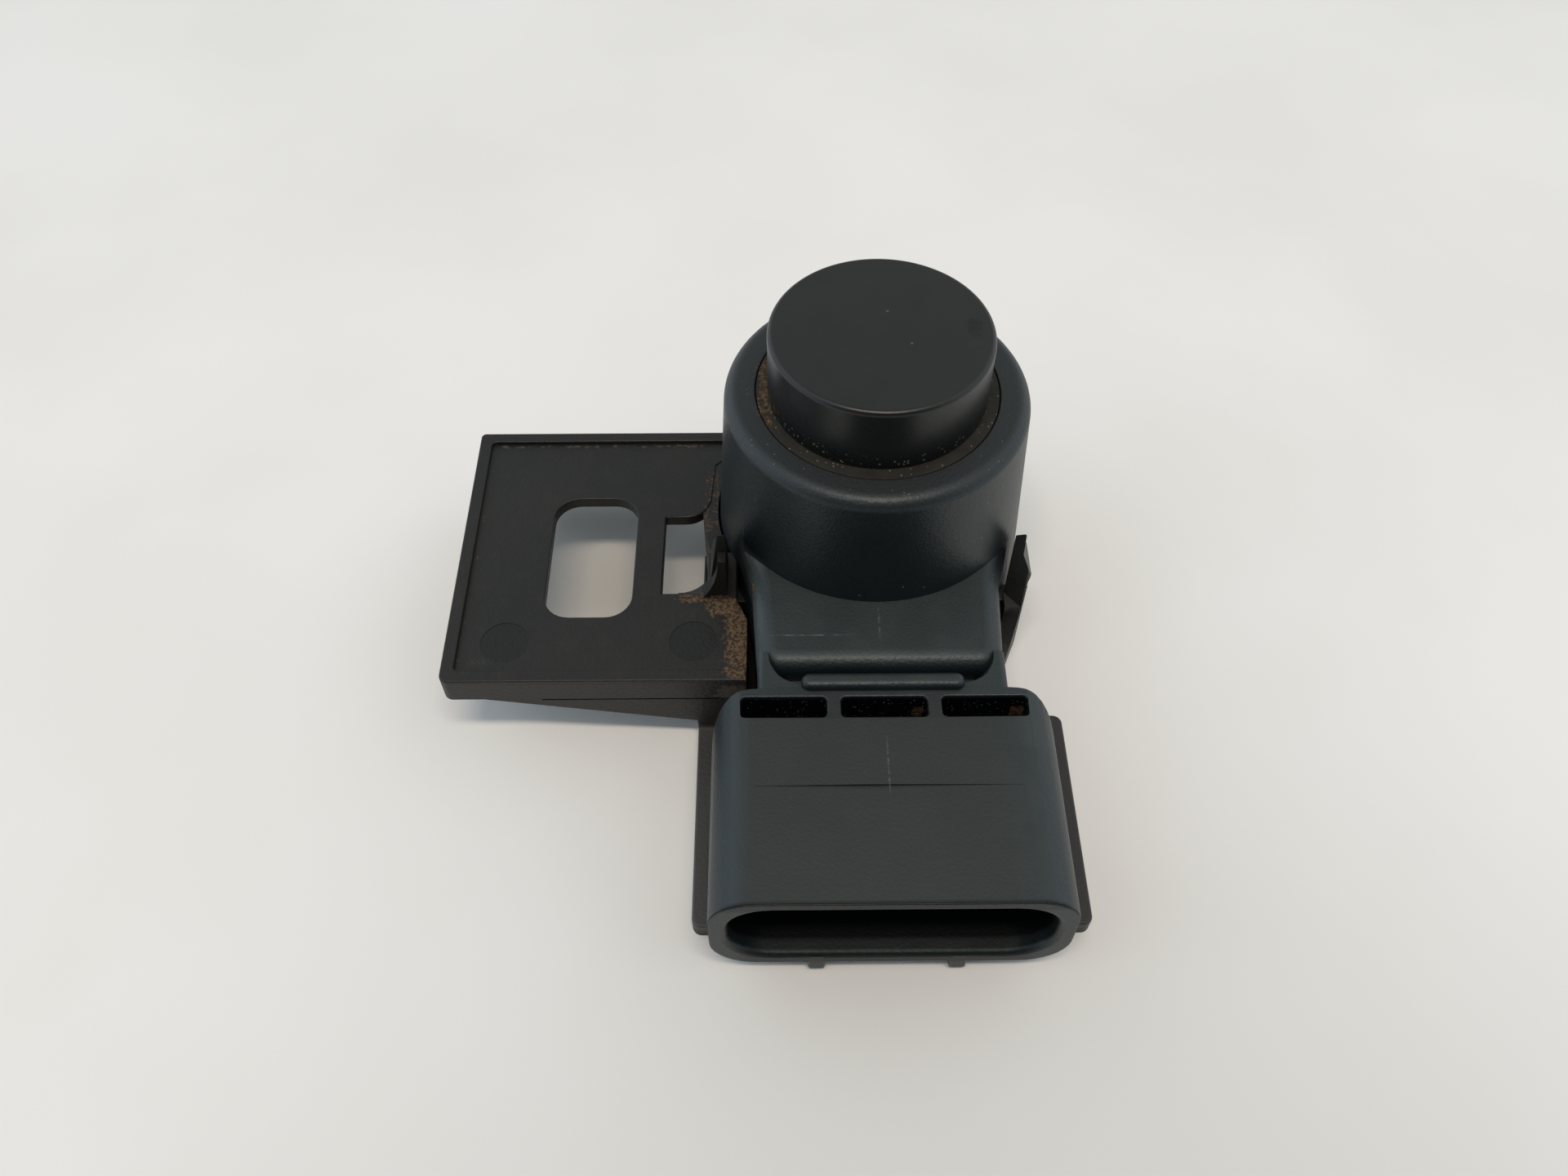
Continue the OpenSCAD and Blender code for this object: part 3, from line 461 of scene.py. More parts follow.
def blackPolypropylene(p):
    # Black polypropylene: warm, matt, with tan road dirt dried on along its edges and round dull marks
    material, tree, where = startFinish("blackPolypropylene")
    grain = add(tree, "TexNoise", "Fac", {"Vector": where, "Scale": 1 / p["grain"], "Detail": 3})
    colour = coat(tree, *p["tones"], stain(tree, where, *p["toneCloud"]))
    faint = stain(tree, where, *p["faintCloud"])
    colour = coat(tree, colour, p["faint"], faint, facingUp(tree, *p["tops"]), p["faintShare"])
    # painted light and shade: lighter base strip and right arm, darker left arm's root and strip's right side
    for tint, *spot in p["faces"]:
        colour = coat(tree, colour, tint, patch(tree, where, *spot))
    for x in bracket["markXs"]:
        spot = disc(tree, where, (x, bracket["markY"], 0), bracket["markR"], p["markSoft"])
        colour = coat(tree, colour, p["mark"], spot, patch(tree, where, *p["markArea"]))
    for spot in p["dust"]:
        colour = coat(tree, colour, earth["dust"], ragged(tree, where, *spot), p["dustShare"])
    colour, dirt = soil(tree, where, colour, p["soil"])
    dress(tree, colour, p["rough"], dirt, grain, p["grainDepth"], p["ior"])
    return material


paint = {
    "side": "#0c0e10", "top": ("#191a17", "#1d1e1b"), "topCloud": (4, 3, 0.3, 0.7), "tops": (0.6, 0.95),
    "rough": (0.3, 0.36), "grain": 0.5, "grainDepth": 0.006, "rubbed": "#0b0c0b",
    "smudge": ((6.5, 0.4, 26.9), (0.8, 1.5, 0.3), (0.7, 1.2, 0.1), 0.5, 0.85),
    "foot": ((0, -4, 21.6), (9, 5, 0.9), (1, 2, 0.5)), "footSpecks": (0.33, 0.1, 0.6),
    "dots": [(0.5, 2.05), (2.0, -1.25)], "dotR": 0.09, "dotSoft": 0.03,
}


def satinPaint(p):
    # Charcoal satin lacquer: an even dark grey face that mirrors the room softly, near black on its side
    material, tree, where = startFinish("satinPaint")
    grain = add(tree, "TexNoise", "Fac", {"Vector": where, "Scale": 1 / p["grain"], "Detail": 2})
    face = coat(tree, *p["top"], stain(tree, where, *p["topCloud"]))
    colour = coat(tree, p["side"], face, facingUp(tree, *p["tops"]))
    colour = coat(tree, colour, p["rubbed"], ragged(tree, where, *p["smudge"]))
    foot = patch(tree, where, *p["foot"])
    colour = coat(tree, colour, earth["speck"], foot, specks(tree, where, *p["footSpecks"]))
    for x, y in p["dots"]:
        colour = coat(tree, colour, earth["dust"], disc(tree, where, (x, y, 0), p["dotR"], p["dotSoft"]))
    dress(tree, colour, p["rough"], 0.0, grain, p["grainDepth"])
    return material


rubber = {
    "tones": ("#1f1e1a", "#292720"), "toneCloud": (1.4, 4, 0.3, 0.7), "rough": (0.65, 0.85), "ior": 1.41,
    "grain": 0.3, "grainDepth": 0.03, "specks": (0.36, 0.08, 0.5),
    "soil": [((-8.2, 0.0, 21.5), (0.8, 5.5, 0.5), (0.5, 2.5, 0.3), 0.3, 0.6)],
}


def siliconeRubber(r):
    # Silicone rubber: dull dark grey, level with the shoulder, with brown dust worked into it
    material, tree, where = startFinish("siliconeRubber")
    grain = add(tree, "TexNoise", "Fac", {"Vector": where, "Scale": 1 / r["grain"], "Detail": 4})
    colour = coat(tree, *r["tones"], stain(tree, where, *r["toneCloud"]))
    colour = coat(tree, colour, earth["speck"], specks(tree, where, *r["specks"]))
    colour, dirt = soil(tree, where, colour, r["soil"])
    dress(tree, colour, r["rough"], dirt, grain, r["grainDepth"], r["ior"])
    return material


# Pieces held inside: two tones, grain in mm, roughness, and what each gives the eye
innerFinishes = {
    "piezoCeramic": (["piezo_disc"], "#b0a880", "#c4bc98", 0.12, 0.35, 0.5),  # pale fired disc, mottled
    "pressedFelt": (["damping_felt"], "#7d7a70", "#9c998e", 0.35, 0.9, 1.0),  # soft grey fibre with no shine
    "castSilicone": (["transducer_filler"], "#c2bfb4", "#d0cdc2", 1.5, 0.4, 0.5),  # milky, a little glossy
    "mouldedPolyester": (["terminal_carrier"], "#262628", "#303033", 0.4, 0.5, 0.6),  # plain black moulding
    "drawnBrass": (["transducer_pins"], "#b8a460", "#d0bf85", 0.2, 0.25, 0.4),  # bright yellow wire
    "enamelledCopper": (["piezo_leads", "transformer_winding"], "#9c5626", "#bf7038", 0.15, 0.25, 0.4),  # red
    "glassLaminate": (["circuit_board"], "#1a4d2d", "#23663c", 0.5, 0.3, 0.45),  # green lacquer over weave
    "mouldedEpoxy": (["signal_chip"], "#1b1b1d", "#252527", 0.15, 0.55, 0.7),  # dull black chip
    "sinteredFerrite": (["transformer_core"], "#323234", "#434346", 0.2, 0.5, 0.65),  # dark grey, dry
    "bobbinNylon": (["transformer_bobbin"], "#d0c9b5", "#e0dac8", 0.6, 0.35, 0.45),  # ivory moulding
    "tantalumResin": (["storage_capacitor"], "#c09630", "#d2ac48", 0.3, 0.35, 0.5),  # yellow block
    "firedCeramic": (["ceramic_capacitors"], "#9c835f", "#b59b76", 0.2, 0.4, 0.55),  # tan chips
    "glazedCeramic": (["chip_resistors"], "#202024", "#2d2d32", 0.2, 0.25, 0.4),  # glossy black chips
    "tinnedBronze": (["socket_terminals"], "#b8b4a6", "#d0ccbe", 0.25, 0.3, 0.45),  # silvery blades
    "castResin": (["potting_compound"], "#131416", "#1b1c1f", 2.0, 0.3, 0.45),  # black, smooth as poured
}
bareMetals = ("drawnBrass", "enamelledCopper", "tinnedBronze")
innerLook = {"spread": 4, "cloud": (3, 0.3, 0.7), "grainDepth": 0.02}


def innerFinish(name, nodes, dark, light, size, smooth, dull):
    material, tree, where = startFinish(name)
    grain = add(tree, "TexNoise", "Fac", {"Vector": where, "Scale": 1 / size, "Detail": 3})
    colour = coat(tree, dark, light, stain(tree, where, innerLook["spread"] * size, *innerLook["cloud"]))
    shader = dress(tree, colour, (smooth, dull), 0.0, grain, innerLook["grainDepth"])
    shader.inputs["Metallic"].default_value = 1.0 if name in bareMetals else 0.0
    for node in nodes:
        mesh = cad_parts[node].data
        mesh.materials.clear()
        mesh.materials.append(material)


for finishName, look in innerFinishes.items():
    innerFinish(finishName, *look)
print("inner pieces dressed:", len(innerFinishes), "finishes")


# Housing: barrel, block, neck and plug socket in one moulding

housing = {
    "seatZ": 1.5, "topR": 11.15, "shoulderR": 1.0, "boreR": 8.9, "boreZ": 12.9, "boreEdgeR": 0.12,
    "holeR": 5.0, "hair": 0.01, "blockZ": 11.2, "blockFrontY": -17.4, "blockHalf": 8.85, "flareHalf": 9.3,
    "flareY": -9.6, "touchX": 11.05, "touchY": -3.4, "blockCornerR": 1.7, "blockEdgeR": 1.5,
    "neckEdgeR": 0.5, "neckY": (-20.3, -16.1), "trenchHalf": 8.05, "trenchY": -18.75, "trenchR": 2.4,
    "trenchZ": 9.3, "trenchFloor": 6.6, "trenchWall": 0.3, "trenchUnder": 0.2, "trenchRimR": 0.2,
    "rearY": -19.2, "socketHalf": 12.05, "socketZ": 1.75, "socketTopZ": 11.5, "sectionR": 3.2,
    "rearR": 3.0, "rearEdgeR": 0.5, "lipL": 0.1, "lipStep": 0.09, "lipR": 0.08,
    "slope": ((-19.0, 11.2), (-21.9, 11.5)), "rampY": -19.0, "rampIn": 0.2, "rampDepth": 1.0,
    "cavityHalf": 10.8, "cavityLowZ": 3.0, "cavityTopZ": 10.3, "cavityR": 3.0, "cavityY": -22.8,
    "mouthR": 0.5, "pocketHalf": 3.0, "pocketPitch": 7.0, "pocketY": (-21.7, -20.0), "pocketR": 0.35,
    "pocketZ": 7.9, "rimR": 0.18, "keyHalf": 5.75, "keyY": (-19.5, -18.2), "keyLowZ": 10.4,
    "keyTopZ": 11.85, "keyRounds": (0.48, 0.46), "tabX": 4.85, "tabHalf": 0.6, "tabL": 1.8, "tabR": 0.2,
    "tabIn": 1.0, "chamberZ": 9.8, "chamberR": 9.75, "chamberHalf": 7.45, "chamberY": -15.0,
    "bladeXs": (-5.0, 0.0, 5.0), "bladeHalf": 0.95, "bladeZ": (6.05, 6.75),
    "lugHalf": 0.8, "lugY": -6.4, "lugZ": (3.8, 5.1), "lugEnds": (-11.9, 11.2), "lugR": 0.15,
    "postX": 5.05, "postY": -8.2, "postR": 1.0, "postZ": 8.6, "postIn": 0.05, "postSides": 32,
    "partLineY": -27.05, "partLineXs": (-9.75, -1.5, 9.25), "partLineLap": 0.1, "partLineLift": 0.1,
    "partLineCut": [(-0.5, 0.02), (0.0, -0.11), (0.1, 0.02)],
}


def makeBarrel(h, topZ, footR):
    return turned([(h["holeR"], h["seatZ"]), (footR, h["seatZ"]), (h["topR"], topZ), (h["boreR"], topZ),
        (h["boreR"], h["boreZ"]), (h["holeR"], h["boreZ"])],
        [((h["topR"], topZ), h["shoulderR"]), ((h["boreR"], topZ), h["boreEdgeR"])], 10)


def makeBlock(h):
    right = [(h["touchX"], h["touchY"]), (h["flareHalf"], h["flareY"]), (h["blockHalf"], h["blockFrontY"])]
    plan = right + [(-x, y) for x, y in reversed(right)]
    bm = slab(plan, h["seatZ"], h["blockZ"], allRound(plan[2:4], h["blockCornerR"]))
    onTop = levelAt(h["blockZ"])
    return soften(bm, lambda a, b: onTop(a, b) and min(a.y, b.y) < h["touchY"] - tiny, h["blockEdgeR"], 8)


def makeNeck(h):
    # walls beside and in front of the trench, a hair inside the block's faces
    half, topZ = h["blockHalf"] - h["hair"], h["blockZ"] - h["hair"]
    bm = slab(rectangle(-half, half, *h["neckY"]), h["seatZ"], topZ)
    onTop = levelAt(topZ)
    soften(bm, lambda a, b: onTop(a, b) and abs(a.x - b.x) < tiny, h["neckEdgeR"], 6)
    trench = rectangle(-h["trenchHalf"], h["trenchHalf"], h["trenchY"], h["neckY"][1] + overrun)
    scoop = slab(trench, h["trenchZ"], topZ + overrun, allRound(trench[:2], h["trenchR"]))
    # the scoop's ends slope inwards
    ends = [(h["trenchHalf"], topZ + 2 * overrun), (h["trenchHalf"], topZ - h["trenchWall"]),
        (h["trenchFloor"], h["trenchZ"] - h["trenchUnder"])]
    ends += [(-x, z) for x, z in reversed(ends)]
    sloped = runY(ends, h["trenchY"] - overrun, h["neckY"][1] + 2 * overrun)
    bm = without(bm, combined(scoop, sloped, "INTERSECT"))
    return soften(bm, lambda a, b: onTop(a, b) and max(a.y, b.y) < h["blockFrontY"]
        and min(a.y, b.y) > h["trenchY"] - tiny, h["trenchRimR"], 3)


def makeSocket(h, mouthY):
    section = rectangle(-h["socketHalf"], h["socketHalf"], h["socketZ"], h["socketTopZ"])
    bm = runY(section, mouthY + h["lipL"], h["rearY"], allRound(section, h["sectionR"]))
    # the mouth's lip: set in a little, then drawn out to the front
    bm.faces.ensure_lookup_table()
    front = min(bm.faces, key=lambda f: f.calc_center_median().y)
    bmesh.ops.inset_region(bm, faces=[front], thickness=h["lipStep"], use_even_offset=True)
    lip = bmesh.ops.extrude_discrete_faces(bm, faces=[front])["faces"]
    bmesh.ops.translate(bm, verts=lip[0].verts[:], vec=(0, -h["lipL"], 0))
    bmesh.ops.recalc_face_normals(bm, faces=bm.faces[:])
    soften(bm, lambda a, b: max(a.y, b.y) < mouthY + near, h["lipR"], 3)
    soften(bm, lambda a, b: min(a.y, b.y) > h["rearY"] - near, h["rearEdgeR"], 4)
    inner = rectangle(-h["socketHalf"], h["socketHalf"], mouthY - 2 * overrun, h["rearY"])
    rounded = slab(inner, h["seatZ"] - 3 * overrun, h["socketTopZ"] + 3 * overrun,
        allRound(inner[2:], h["rearR"]))
    bm = combined(bm, rounded, "INTERSECT")
    # its top falls a little towards the neck
    (backY, backZ), (frontY, frontZ) = h["slope"]
    above = frontZ + 2 * overrun
    return without(bm, runX([(backY, backZ), (frontY, frontZ), (frontY, above), (backY, above)],
        -h["socketHalf"] - overrun, h["socketHalf"] + overrun))


def makeRamp(h):
    # fills the corner between the neck and the socket's sloped top
    backZ, (frontY, frontZ) = h["slope"][0][1], h["slope"][1]
    half, lowZ = h["trenchHalf"] + h["rampIn"], backZ - h["rampDepth"]
    return runX([(h["rampY"], h["blockZ"] - 2 * h["hair"]), (h["rampY"], lowZ), (frontY, lowZ),
        (frontY, frontZ - h["hair"])], -half, half)


def makeKeyRib(h):
    plan = rectangle(-h["keyHalf"], h["keyHalf"], *h["keyY"])
    width = h["keyY"][1] - h["keyY"][0]
    bm = slab(plan, h["keyLowZ"], h["keyTopZ"], allRound(plan, h["keyRounds"][0] * width))
    return soften(bm, levelAt(h["keyTopZ"]), h["keyRounds"][1] * width, 6)


def makeTab(h, x, mouthY, lowZ):
    bm = span((x - h["tabHalf"], mouthY, lowZ),
        (x + h["tabHalf"], mouthY + h["tabL"], h["socketZ"] + h["tabIn"]))
    return soften(bm, lambda a, b: min(a.z, b.z) < lowZ + tiny, h["tabR"], 3)


def makeHousing(h):
    topZ, footR, mouthY = housingHigh.z, housingHigh.x, housingLow.y
    body = joined(makeBarrel(h, topZ, footR), makeBlock(h), makeNeck(h), makeSocket(h, mouthY), makeRamp(h))
    # the plug's cavity, with a rounded inner edge at the mouth
    low, high = h["cavityLowZ"], h["cavityTopZ"]
    cavity = hollowCutter(h["cavityHalf"], (high - low) / 2, h["cavityR"], h["cavityY"] - mouthY,
        h["mouthR"], 6)
    lie = Matrix.Rotation(math.pi / 2, 3, "X")
    bmesh.ops.rotate(cavity, verts=cavity.verts[:], cent=(0, 0, 0), matrix=lie)
    bmesh.ops.translate(cavity, verts=cavity.verts[:], vec=(0, mouthY - gap, (low + high) / 2))
    body = without(body, cavity)
    # three pockets in the socket's sloped top, their rims eased
    (backY, backZ), (frontY, frontZ) = h["slope"]
    rise = (frontZ - backZ) / (frontY - backY)
    slant = Matrix(((1, 0, 0, 0), (0, 1, 0, 0), (0, rise, 1, 0), (0, 0, 0, 1)))
    pocketFront, pocketBack = h["pocketY"]
    pocketY = (pocketFront + pocketBack) / 2
    pocketTop = backZ + rise * (pocketY - backY)
    for step in (-1, 0, 1):
        pocket = hollowCutter(h["pocketHalf"], (pocketBack - pocketFront) / 2, h["pocketR"],
            pocketTop - h["pocketZ"], h["rimR"])
        bmesh.ops.transform(pocket, matrix=slant, verts=pocket.verts[:])
        bmesh.ops.translate(pocket, verts=pocket.verts[:],
            vec=(step * h["pocketPitch"], pocketY, pocketTop + gap))
        body = without(body, pocket)
    tabs = [makeTab(h, x, mouthY, housingLow.z) for x in (-h["tabX"], h["tabX"])]
    body = joined(body, makeKeyRib(h), *tabs)
    # a fine parting line across the socket's top: two cuts that lap in the middle and run out at the ends
    left, middle, right = h["partLineXs"]
    groove = [(h["partLineY"] + y, h["socketTopZ"] + z) for y, z in h["partLineCut"]]
    for end in (left, right):
        cutter = runX(groove, middle + math.copysign(h["partLineLap"], middle - end), end)
        tip = [v for v in cutter.verts if v.co.x == end]
        bmesh.ops.translate(cutter, verts=tip, vec=(0, 0, h["partLineLift"]))
        body = without(body, cutter)
    # the space for the circuit board and the slits for the blades
    lowZ = h["seatZ"] - overrun
    chamber = turned([(0, lowZ), (h["chamberR"], lowZ), (h["chamberR"], h["chamberZ"]), (0, h["chamberZ"])])
    well = span((-h["chamberHalf"], h["chamberY"], lowZ), (h["chamberHalf"], 0, h["chamberZ"]))
    body = without(body, chamber, well)
    for x in h["bladeXs"]:
        body = without(body, span((x - h["bladeHalf"], h["cavityY"] - overrun, h["bladeZ"][0]),
            (x + h["bladeHalf"], h["chamberY"] + overrun, h["bladeZ"][1])))
    for end in h["lugEnds"]:
        inner = math.copysign(h["chamberR"], end)
        lug = span((min(inner, end), h["lugY"] - h["lugHalf"], h["lugZ"][0]),
            (max(inner, end), h["lugY"] + h["lugHalf"], h["lugZ"][1]))
        body = joined(body, soften(lug, anyEdge, h["lugR"], 2))
    height = h["chamberZ"] + h["postIn"] - h["postZ"]
    for side in (-1, 1):
        post = bmesh.new()
        bmesh.ops.create_cone(post, cap_ends=True, segments=h["postSides"], radius1=h["postR"],
            radius2=h["postR"], depth=height)
        bmesh.ops.translate(post, verts=post.verts[:],
            vec=(side * h["postX"], h["postY"], h["postZ"] + height / 2))
        body = joined(body, post)
    return body


finished(makeHousing(housing), "sensorHousing", "sensor_housing", mouldedNylon(nylon))


# Transducer: the painted cup and its rubber sleeve

cup = {"edgeR": 0.4, "lipZ": 21.55, "bodyR": 7.6, "boreR": 7.0, "faceT": 0.8, "lipR": 0.12}


def makeCup(c):
    topZ, noseR, lowZ = canHigh.z, canHigh.x, canLow.z
    return turned([(0, topZ), (noseR, topZ), (noseR, c["lipZ"]), (c["bodyR"], c["lipZ"]), (c["bodyR"], lowZ),
        (c["boreR"], lowZ), (c["boreR"], topZ - c["faceT"]), (0, topZ - c["faceT"])],
        [((noseR, topZ), c["edgeR"]), ((noseR, c["lipZ"]), c["lipR"])], 10)


finished(makeCup(cup), "transducerCup", "transducer_can", satinPaint(paint))

sleeve = {"gripR": 7.65, "floorZ": 14.0, "holeR": 5.0, "edgeR": 0.1, "below": 0.04}


def makeSleeve(s):
    topZ, outR, lowZ = housingHigh.z - s["below"], sleeveHigh.x, sleeveLow.z
    return turned([(s["holeR"], lowZ), (outR, lowZ), (outR, topZ), (s["gripR"], topZ),
        (s["gripR"], s["floorZ"]), (s["holeR"], s["floorZ"])], [((outR, topZ), s["edgeR"])], 6)


finished(makeSleeve(sleeve), "isolationSleeve", "isolation_sleeve", siliconeRubber(rubber))


# Bracket: base plate, raised side plate, cradle and two snap arms in one moulding

bracket = {
    "baseT": 1.5, "leftX": -13.55, "backY": 0.4, "stripY": -15.65, "midX": 8.85, "frontCornerR": 0.7,
    "edgeR": 0.18, "hair": 0.02, "discR": 12.29,
    "plateRightX": -9.7, "plateFrontY": -16.8, "plateBackY": 8.05, "plateTopZ": 8.55, "plateLowZ": 6.15,
    "reliefY": -11.0, "rootY": -9.2, "innerX": -10.5, "armBackY": -4.6, "holeRightX": -12.8,
    "holeFrontY": -8.6, "holeLeftX": -16.3, "holeBackY": -1.0,
    "besideBarrel": [(-12.8, -1.0), (-12.4, 4.6), (-11.9, 5.1), (-9.9, 8.05)], "besideR": 1.9,
    "backCornerR": 0.4, "rimW": 1.0, "rimZ": 8.2, "rimDepth": 0.4, "rimR": 0.14, "underW": 1.4,
    "panelZ": 7.25, "slotX": -21.9, "slotY": -4.9, "slotHalfX": 3.35, "slotHalfY": 5.875, "slotR": 2.0,
    "gussetY": (-16.55, -15.15), "gussetTipX": -31.2, "gussetFootZ": 2.55, "webZ": 7.7, "webX": -10.9,
    "lineXs": (-25.0, -11.3), "lineZ": (5.62, 5.85), "lineDepth": 0.15,
    "cradleR": (12.45, 13.34), "cradleTopR": 12.12, "cradleZ": 8.1, "cradleIn": 1.0, "sectorX": -20.0,
    "armY": (-8.2, -4.9), "armTopZ": 14.7, "armTip": 0.6, "armRoot": 1.35, "armShoulderZ": 8.8,
    "armSlope": 4.6, "armEdgeR": 0.12, "armEdgeZ": 1.0, "armClearR": 12.54, "rightArmX": 10.5,
    "leftArmX": 11.2, "ridge": ((0.7, 11.4), (1.5, 9.6), (1.46, 9.1)),
    "faceX": 1.2, "faceY": -5.6, "faceZ": 5.6, "windowY": (-7.4, -5.4), "windowZ": (3.6, 5.3),
    "rootL": 3.3, "rootH": 5.5, "rootIn": 0.3, "footL": 4.4, "footH": 6.0, "footTurn": 23, "footT": 1.2,
    "markXs": (-27.8, -13.7), "markY": -13.1, "markR": 1.8, "markDepth": 0.03,
}


def makeBase(b):
    frontY, rightX = bracketLow.y, bracketHigh.x
    plan = [(b["leftX"], frontY), (rightX, frontY), (rightX, b["stripY"]), (b["midX"], b["stripY"]),
        (b["midX"], b["backY"]), (b["leftX"], b["backY"])]
    bm = slab(plan, 0, b["baseT"], allRound(plan[:3], b["frontCornerR"]))
    soften(bm, levelAt(b["baseT"]), b["edgeR"], 3)
    seat = turned([(0, 0), (b["discR"], 0), (b["discR"], b["baseT"]), (0, b["baseT"])])
    return joined(bm, seat)


def makeRaisedPlate(b):
    leftX = bracketLow.x
    plan = [(leftX, b["plateFrontY"]), (b["plateRightX"], b["plateFrontY"]), (b["plateRightX"], b["reliefY"]),
        (b["innerX"], b["rootY"]), (b["innerX"], b["armBackY"]), (b["holeRightX"], b["armBackY"]),
        (b["holeRightX"], b["holeFrontY"]), (b["holeLeftX"], b["holeFrontY"]),
        (b["holeLeftX"], b["holeBackY"])]
    plan += b["besideBarrel"] + [(leftX, b["plateBackY"])]
    rounds = [(plan[0], b["frontCornerR"]), (plan[-1], b["backCornerR"]),
        (b["besideBarrel"][0], b["besideR"])]
    bm = slab(plan, b["plateLowZ"], b["rimZ"], rounds)
    onTop = levelAt(b["rimZ"])
    soften(bm, lambda a, c: onTop(a, c) and min(a.x, c.x) > b["slotX"]
        and min(a.y, c.y) > b["plateFrontY"] + near and max(a.y, c.y) < b["plateBackY"] - near, b["rimR"], 3)
    under = rectangle(leftX + b["underW"], 0, b["plateFrontY"] + b["underW"], b["plateBackY"] - b["underW"])
    slotDepth = b["rimZ"] - b["plateLowZ"] + overrun
    slot = hollowCutter(b["slotHalfX"], b["slotHalfY"], b["slotR"], slotDepth, b["rimR"])
    bmesh.ops.translate(slot, verts=slot.verts[:], vec=(b["slotX"], b["slotY"], b["rimZ"] + gap))
    bm = without(bm, slab(under, b["plateLowZ"] - overrun, b["panelZ"]), slot)
    markZ, aboveZ = b["rimZ"] - b["markDepth"], b["rimZ"] + overrun
    for x in b["markXs"]:
        mark = turned([(0, markZ), (b["markR"], markZ), (b["markR"], aboveZ), (0, aboveZ)])
        bmesh.ops.translate(mark, verts=mark.verts[:], vec=(x, b["markY"], 0))
        bm = without(bm, mark)
    return joined(bm, makePlateRim(b, leftX))


def makePlateRim(b, leftX):
    # a low rim on three sides, just inside the plate's faces, ending at the slanted edge beside the barrel
    left, front, back = leftX + gap, b["plateFrontY"] + gap, b["plateBackY"] - gap
    innerLeft, innerFront = leftX + b["rimW"], b["plateFrontY"] + b["rimW"]
    innerBack, right = b["plateBackY"] - b["rimW"], b["plateRightX"] - gap
    (startX, startY), (endX, endY) = b["besideBarrel"][-2:]
    slant = (endX - startX) / (endY - startY)
    ends = [(endX - gap + (y - endY) * slant, y) for y in (innerBack, back)]
    plan = [(left, front), (right, front), (right, innerFront), (innerLeft, innerFront),
        (innerLeft, innerBack)]
    plan += ends + [(left, back)]
    rounds = [(plan[0], b["frontCornerR"])] + allRound([plan[-1]] + plan[3:5], b["backCornerR"])
    bm = slab(plan, b["rimZ"] - b["rimDepth"], b["plateTopZ"], rounds)
    return soften(bm, levelAt(b["plateTopZ"]), b["rimR"], 3)


def makeGusset(b):
    rightX, lowZ = b["plateRightX"] - b["hair"], b["hair"]
    points = [(b["gussetTipX"], b["plateLowZ"]), (b["leftX"], b["gussetFootZ"]), (b["leftX"], lowZ),
        (rightX, lowZ), (rightX, b["webZ"]), (b["gussetTipX"], b["webZ"])]
    # a fine line where the gusset meets the plate's front edge
    front, (left, right), (under, over) = b["gussetY"][0], b["lineXs"], b["lineZ"]
    line = span((left, front - overrun, under), (right, front + b["lineDepth"], over))
    return without(runY(points, *b["gussetY"]), line)


def makeCradle(b):
    low, high = b["cradleR"]
    inner, base, top = b["discR"] - b["cradleIn"], b["hair"], b["baseT"] - b["hair"]
    section = [(inner, base), (high, base), (high, b["cradleZ"]), (b["cradleTopR"], b["cradleZ"]),
        (low, top), (inner, top)]
    sector = span((b["sectorX"], b["armBackY"], -overrun),
        (0, b["plateBackY"] - b["hair"], b["cradleZ"] + overrun))
    return combined(turned(section), sector, "INTERSECT")


def makeFoot(b):
    points = [(-b["armTip"], b["hair"]), (b["footL"], b["hair"])]
    for sine, cosine in quarterTurn():
        points.append((b["footL"] * (1 - sine), b["baseT"] + b["footH"] * (1 - cosine)))
    points.append((-b["armTip"], b["baseT"] + b["footH"]))
    return runX([(-along, z) for along, z in points], -b["footT"], 0)


def makeArm(b, x, ridge):
    front, back = b["armY"]
    section = [(x, 2 * b["hair"]), (x, b["armTopZ"]), (x + b["armTip"], b["armTopZ"])]
    section += [(x + out, z) for out, z in ridge]
    section += [(x + b["armRoot"], b["armShoulderZ"]), (x + b["armRoot"], 2 * b["hair"])]
    bm = runY(section, front, back)
    backZ, aboveZ = b["armTopZ"] - b["armSlope"], b["armTopZ"] + overrun
    slope = [(front, b["armTopZ"]), (back, backZ), (back + overrun, backZ), (back + overrun, aboveZ),
        (front, aboveZ)]
    inside, outside = x - overrun, x + b["armRoot"] + overrun
    bm = without(bm, runX(slope, inside, outside))
    soften(bm, lambda a, c: min(a.z, c.z) > b["armEdgeZ"], b["armEdgeR"], 2)
    clearZ = b["baseT"] - b["hair"]
    clear = turned([(0, clearZ), (b["armClearR"], clearZ), (b["armClearR"], aboveZ), (0, aboveZ)])
    window = span((inside, b["windowY"][0], b["windowZ"][0]), (outside, b["windowY"][1], b["windowZ"][1]))
    foot = makeFoot(b)
    footTurn = Matrix.Rotation(-math.radians(b["footTurn"]), 3, "Z")
    bmesh.ops.rotate(foot, verts=foot.verts[:], cent=(0, 0, 0), matrix=footTurn)
    bmesh.ops.translate(foot, verts=foot.verts[:], vec=(x + b["armRoot"] - b["hair"], front, 0))
    bm = without(joined(bm, foot), clear, window)
    if ridge:
        # the right arm's front face turns towards the barrel
        face = [(inside, front - overrun), (x + b["faceX"], front - overrun), (x + b["faceX"], front),
            (inside, b["faceY"])]
        bm = without(bm, slab(face, b["faceZ"], aboveZ))
    return bm


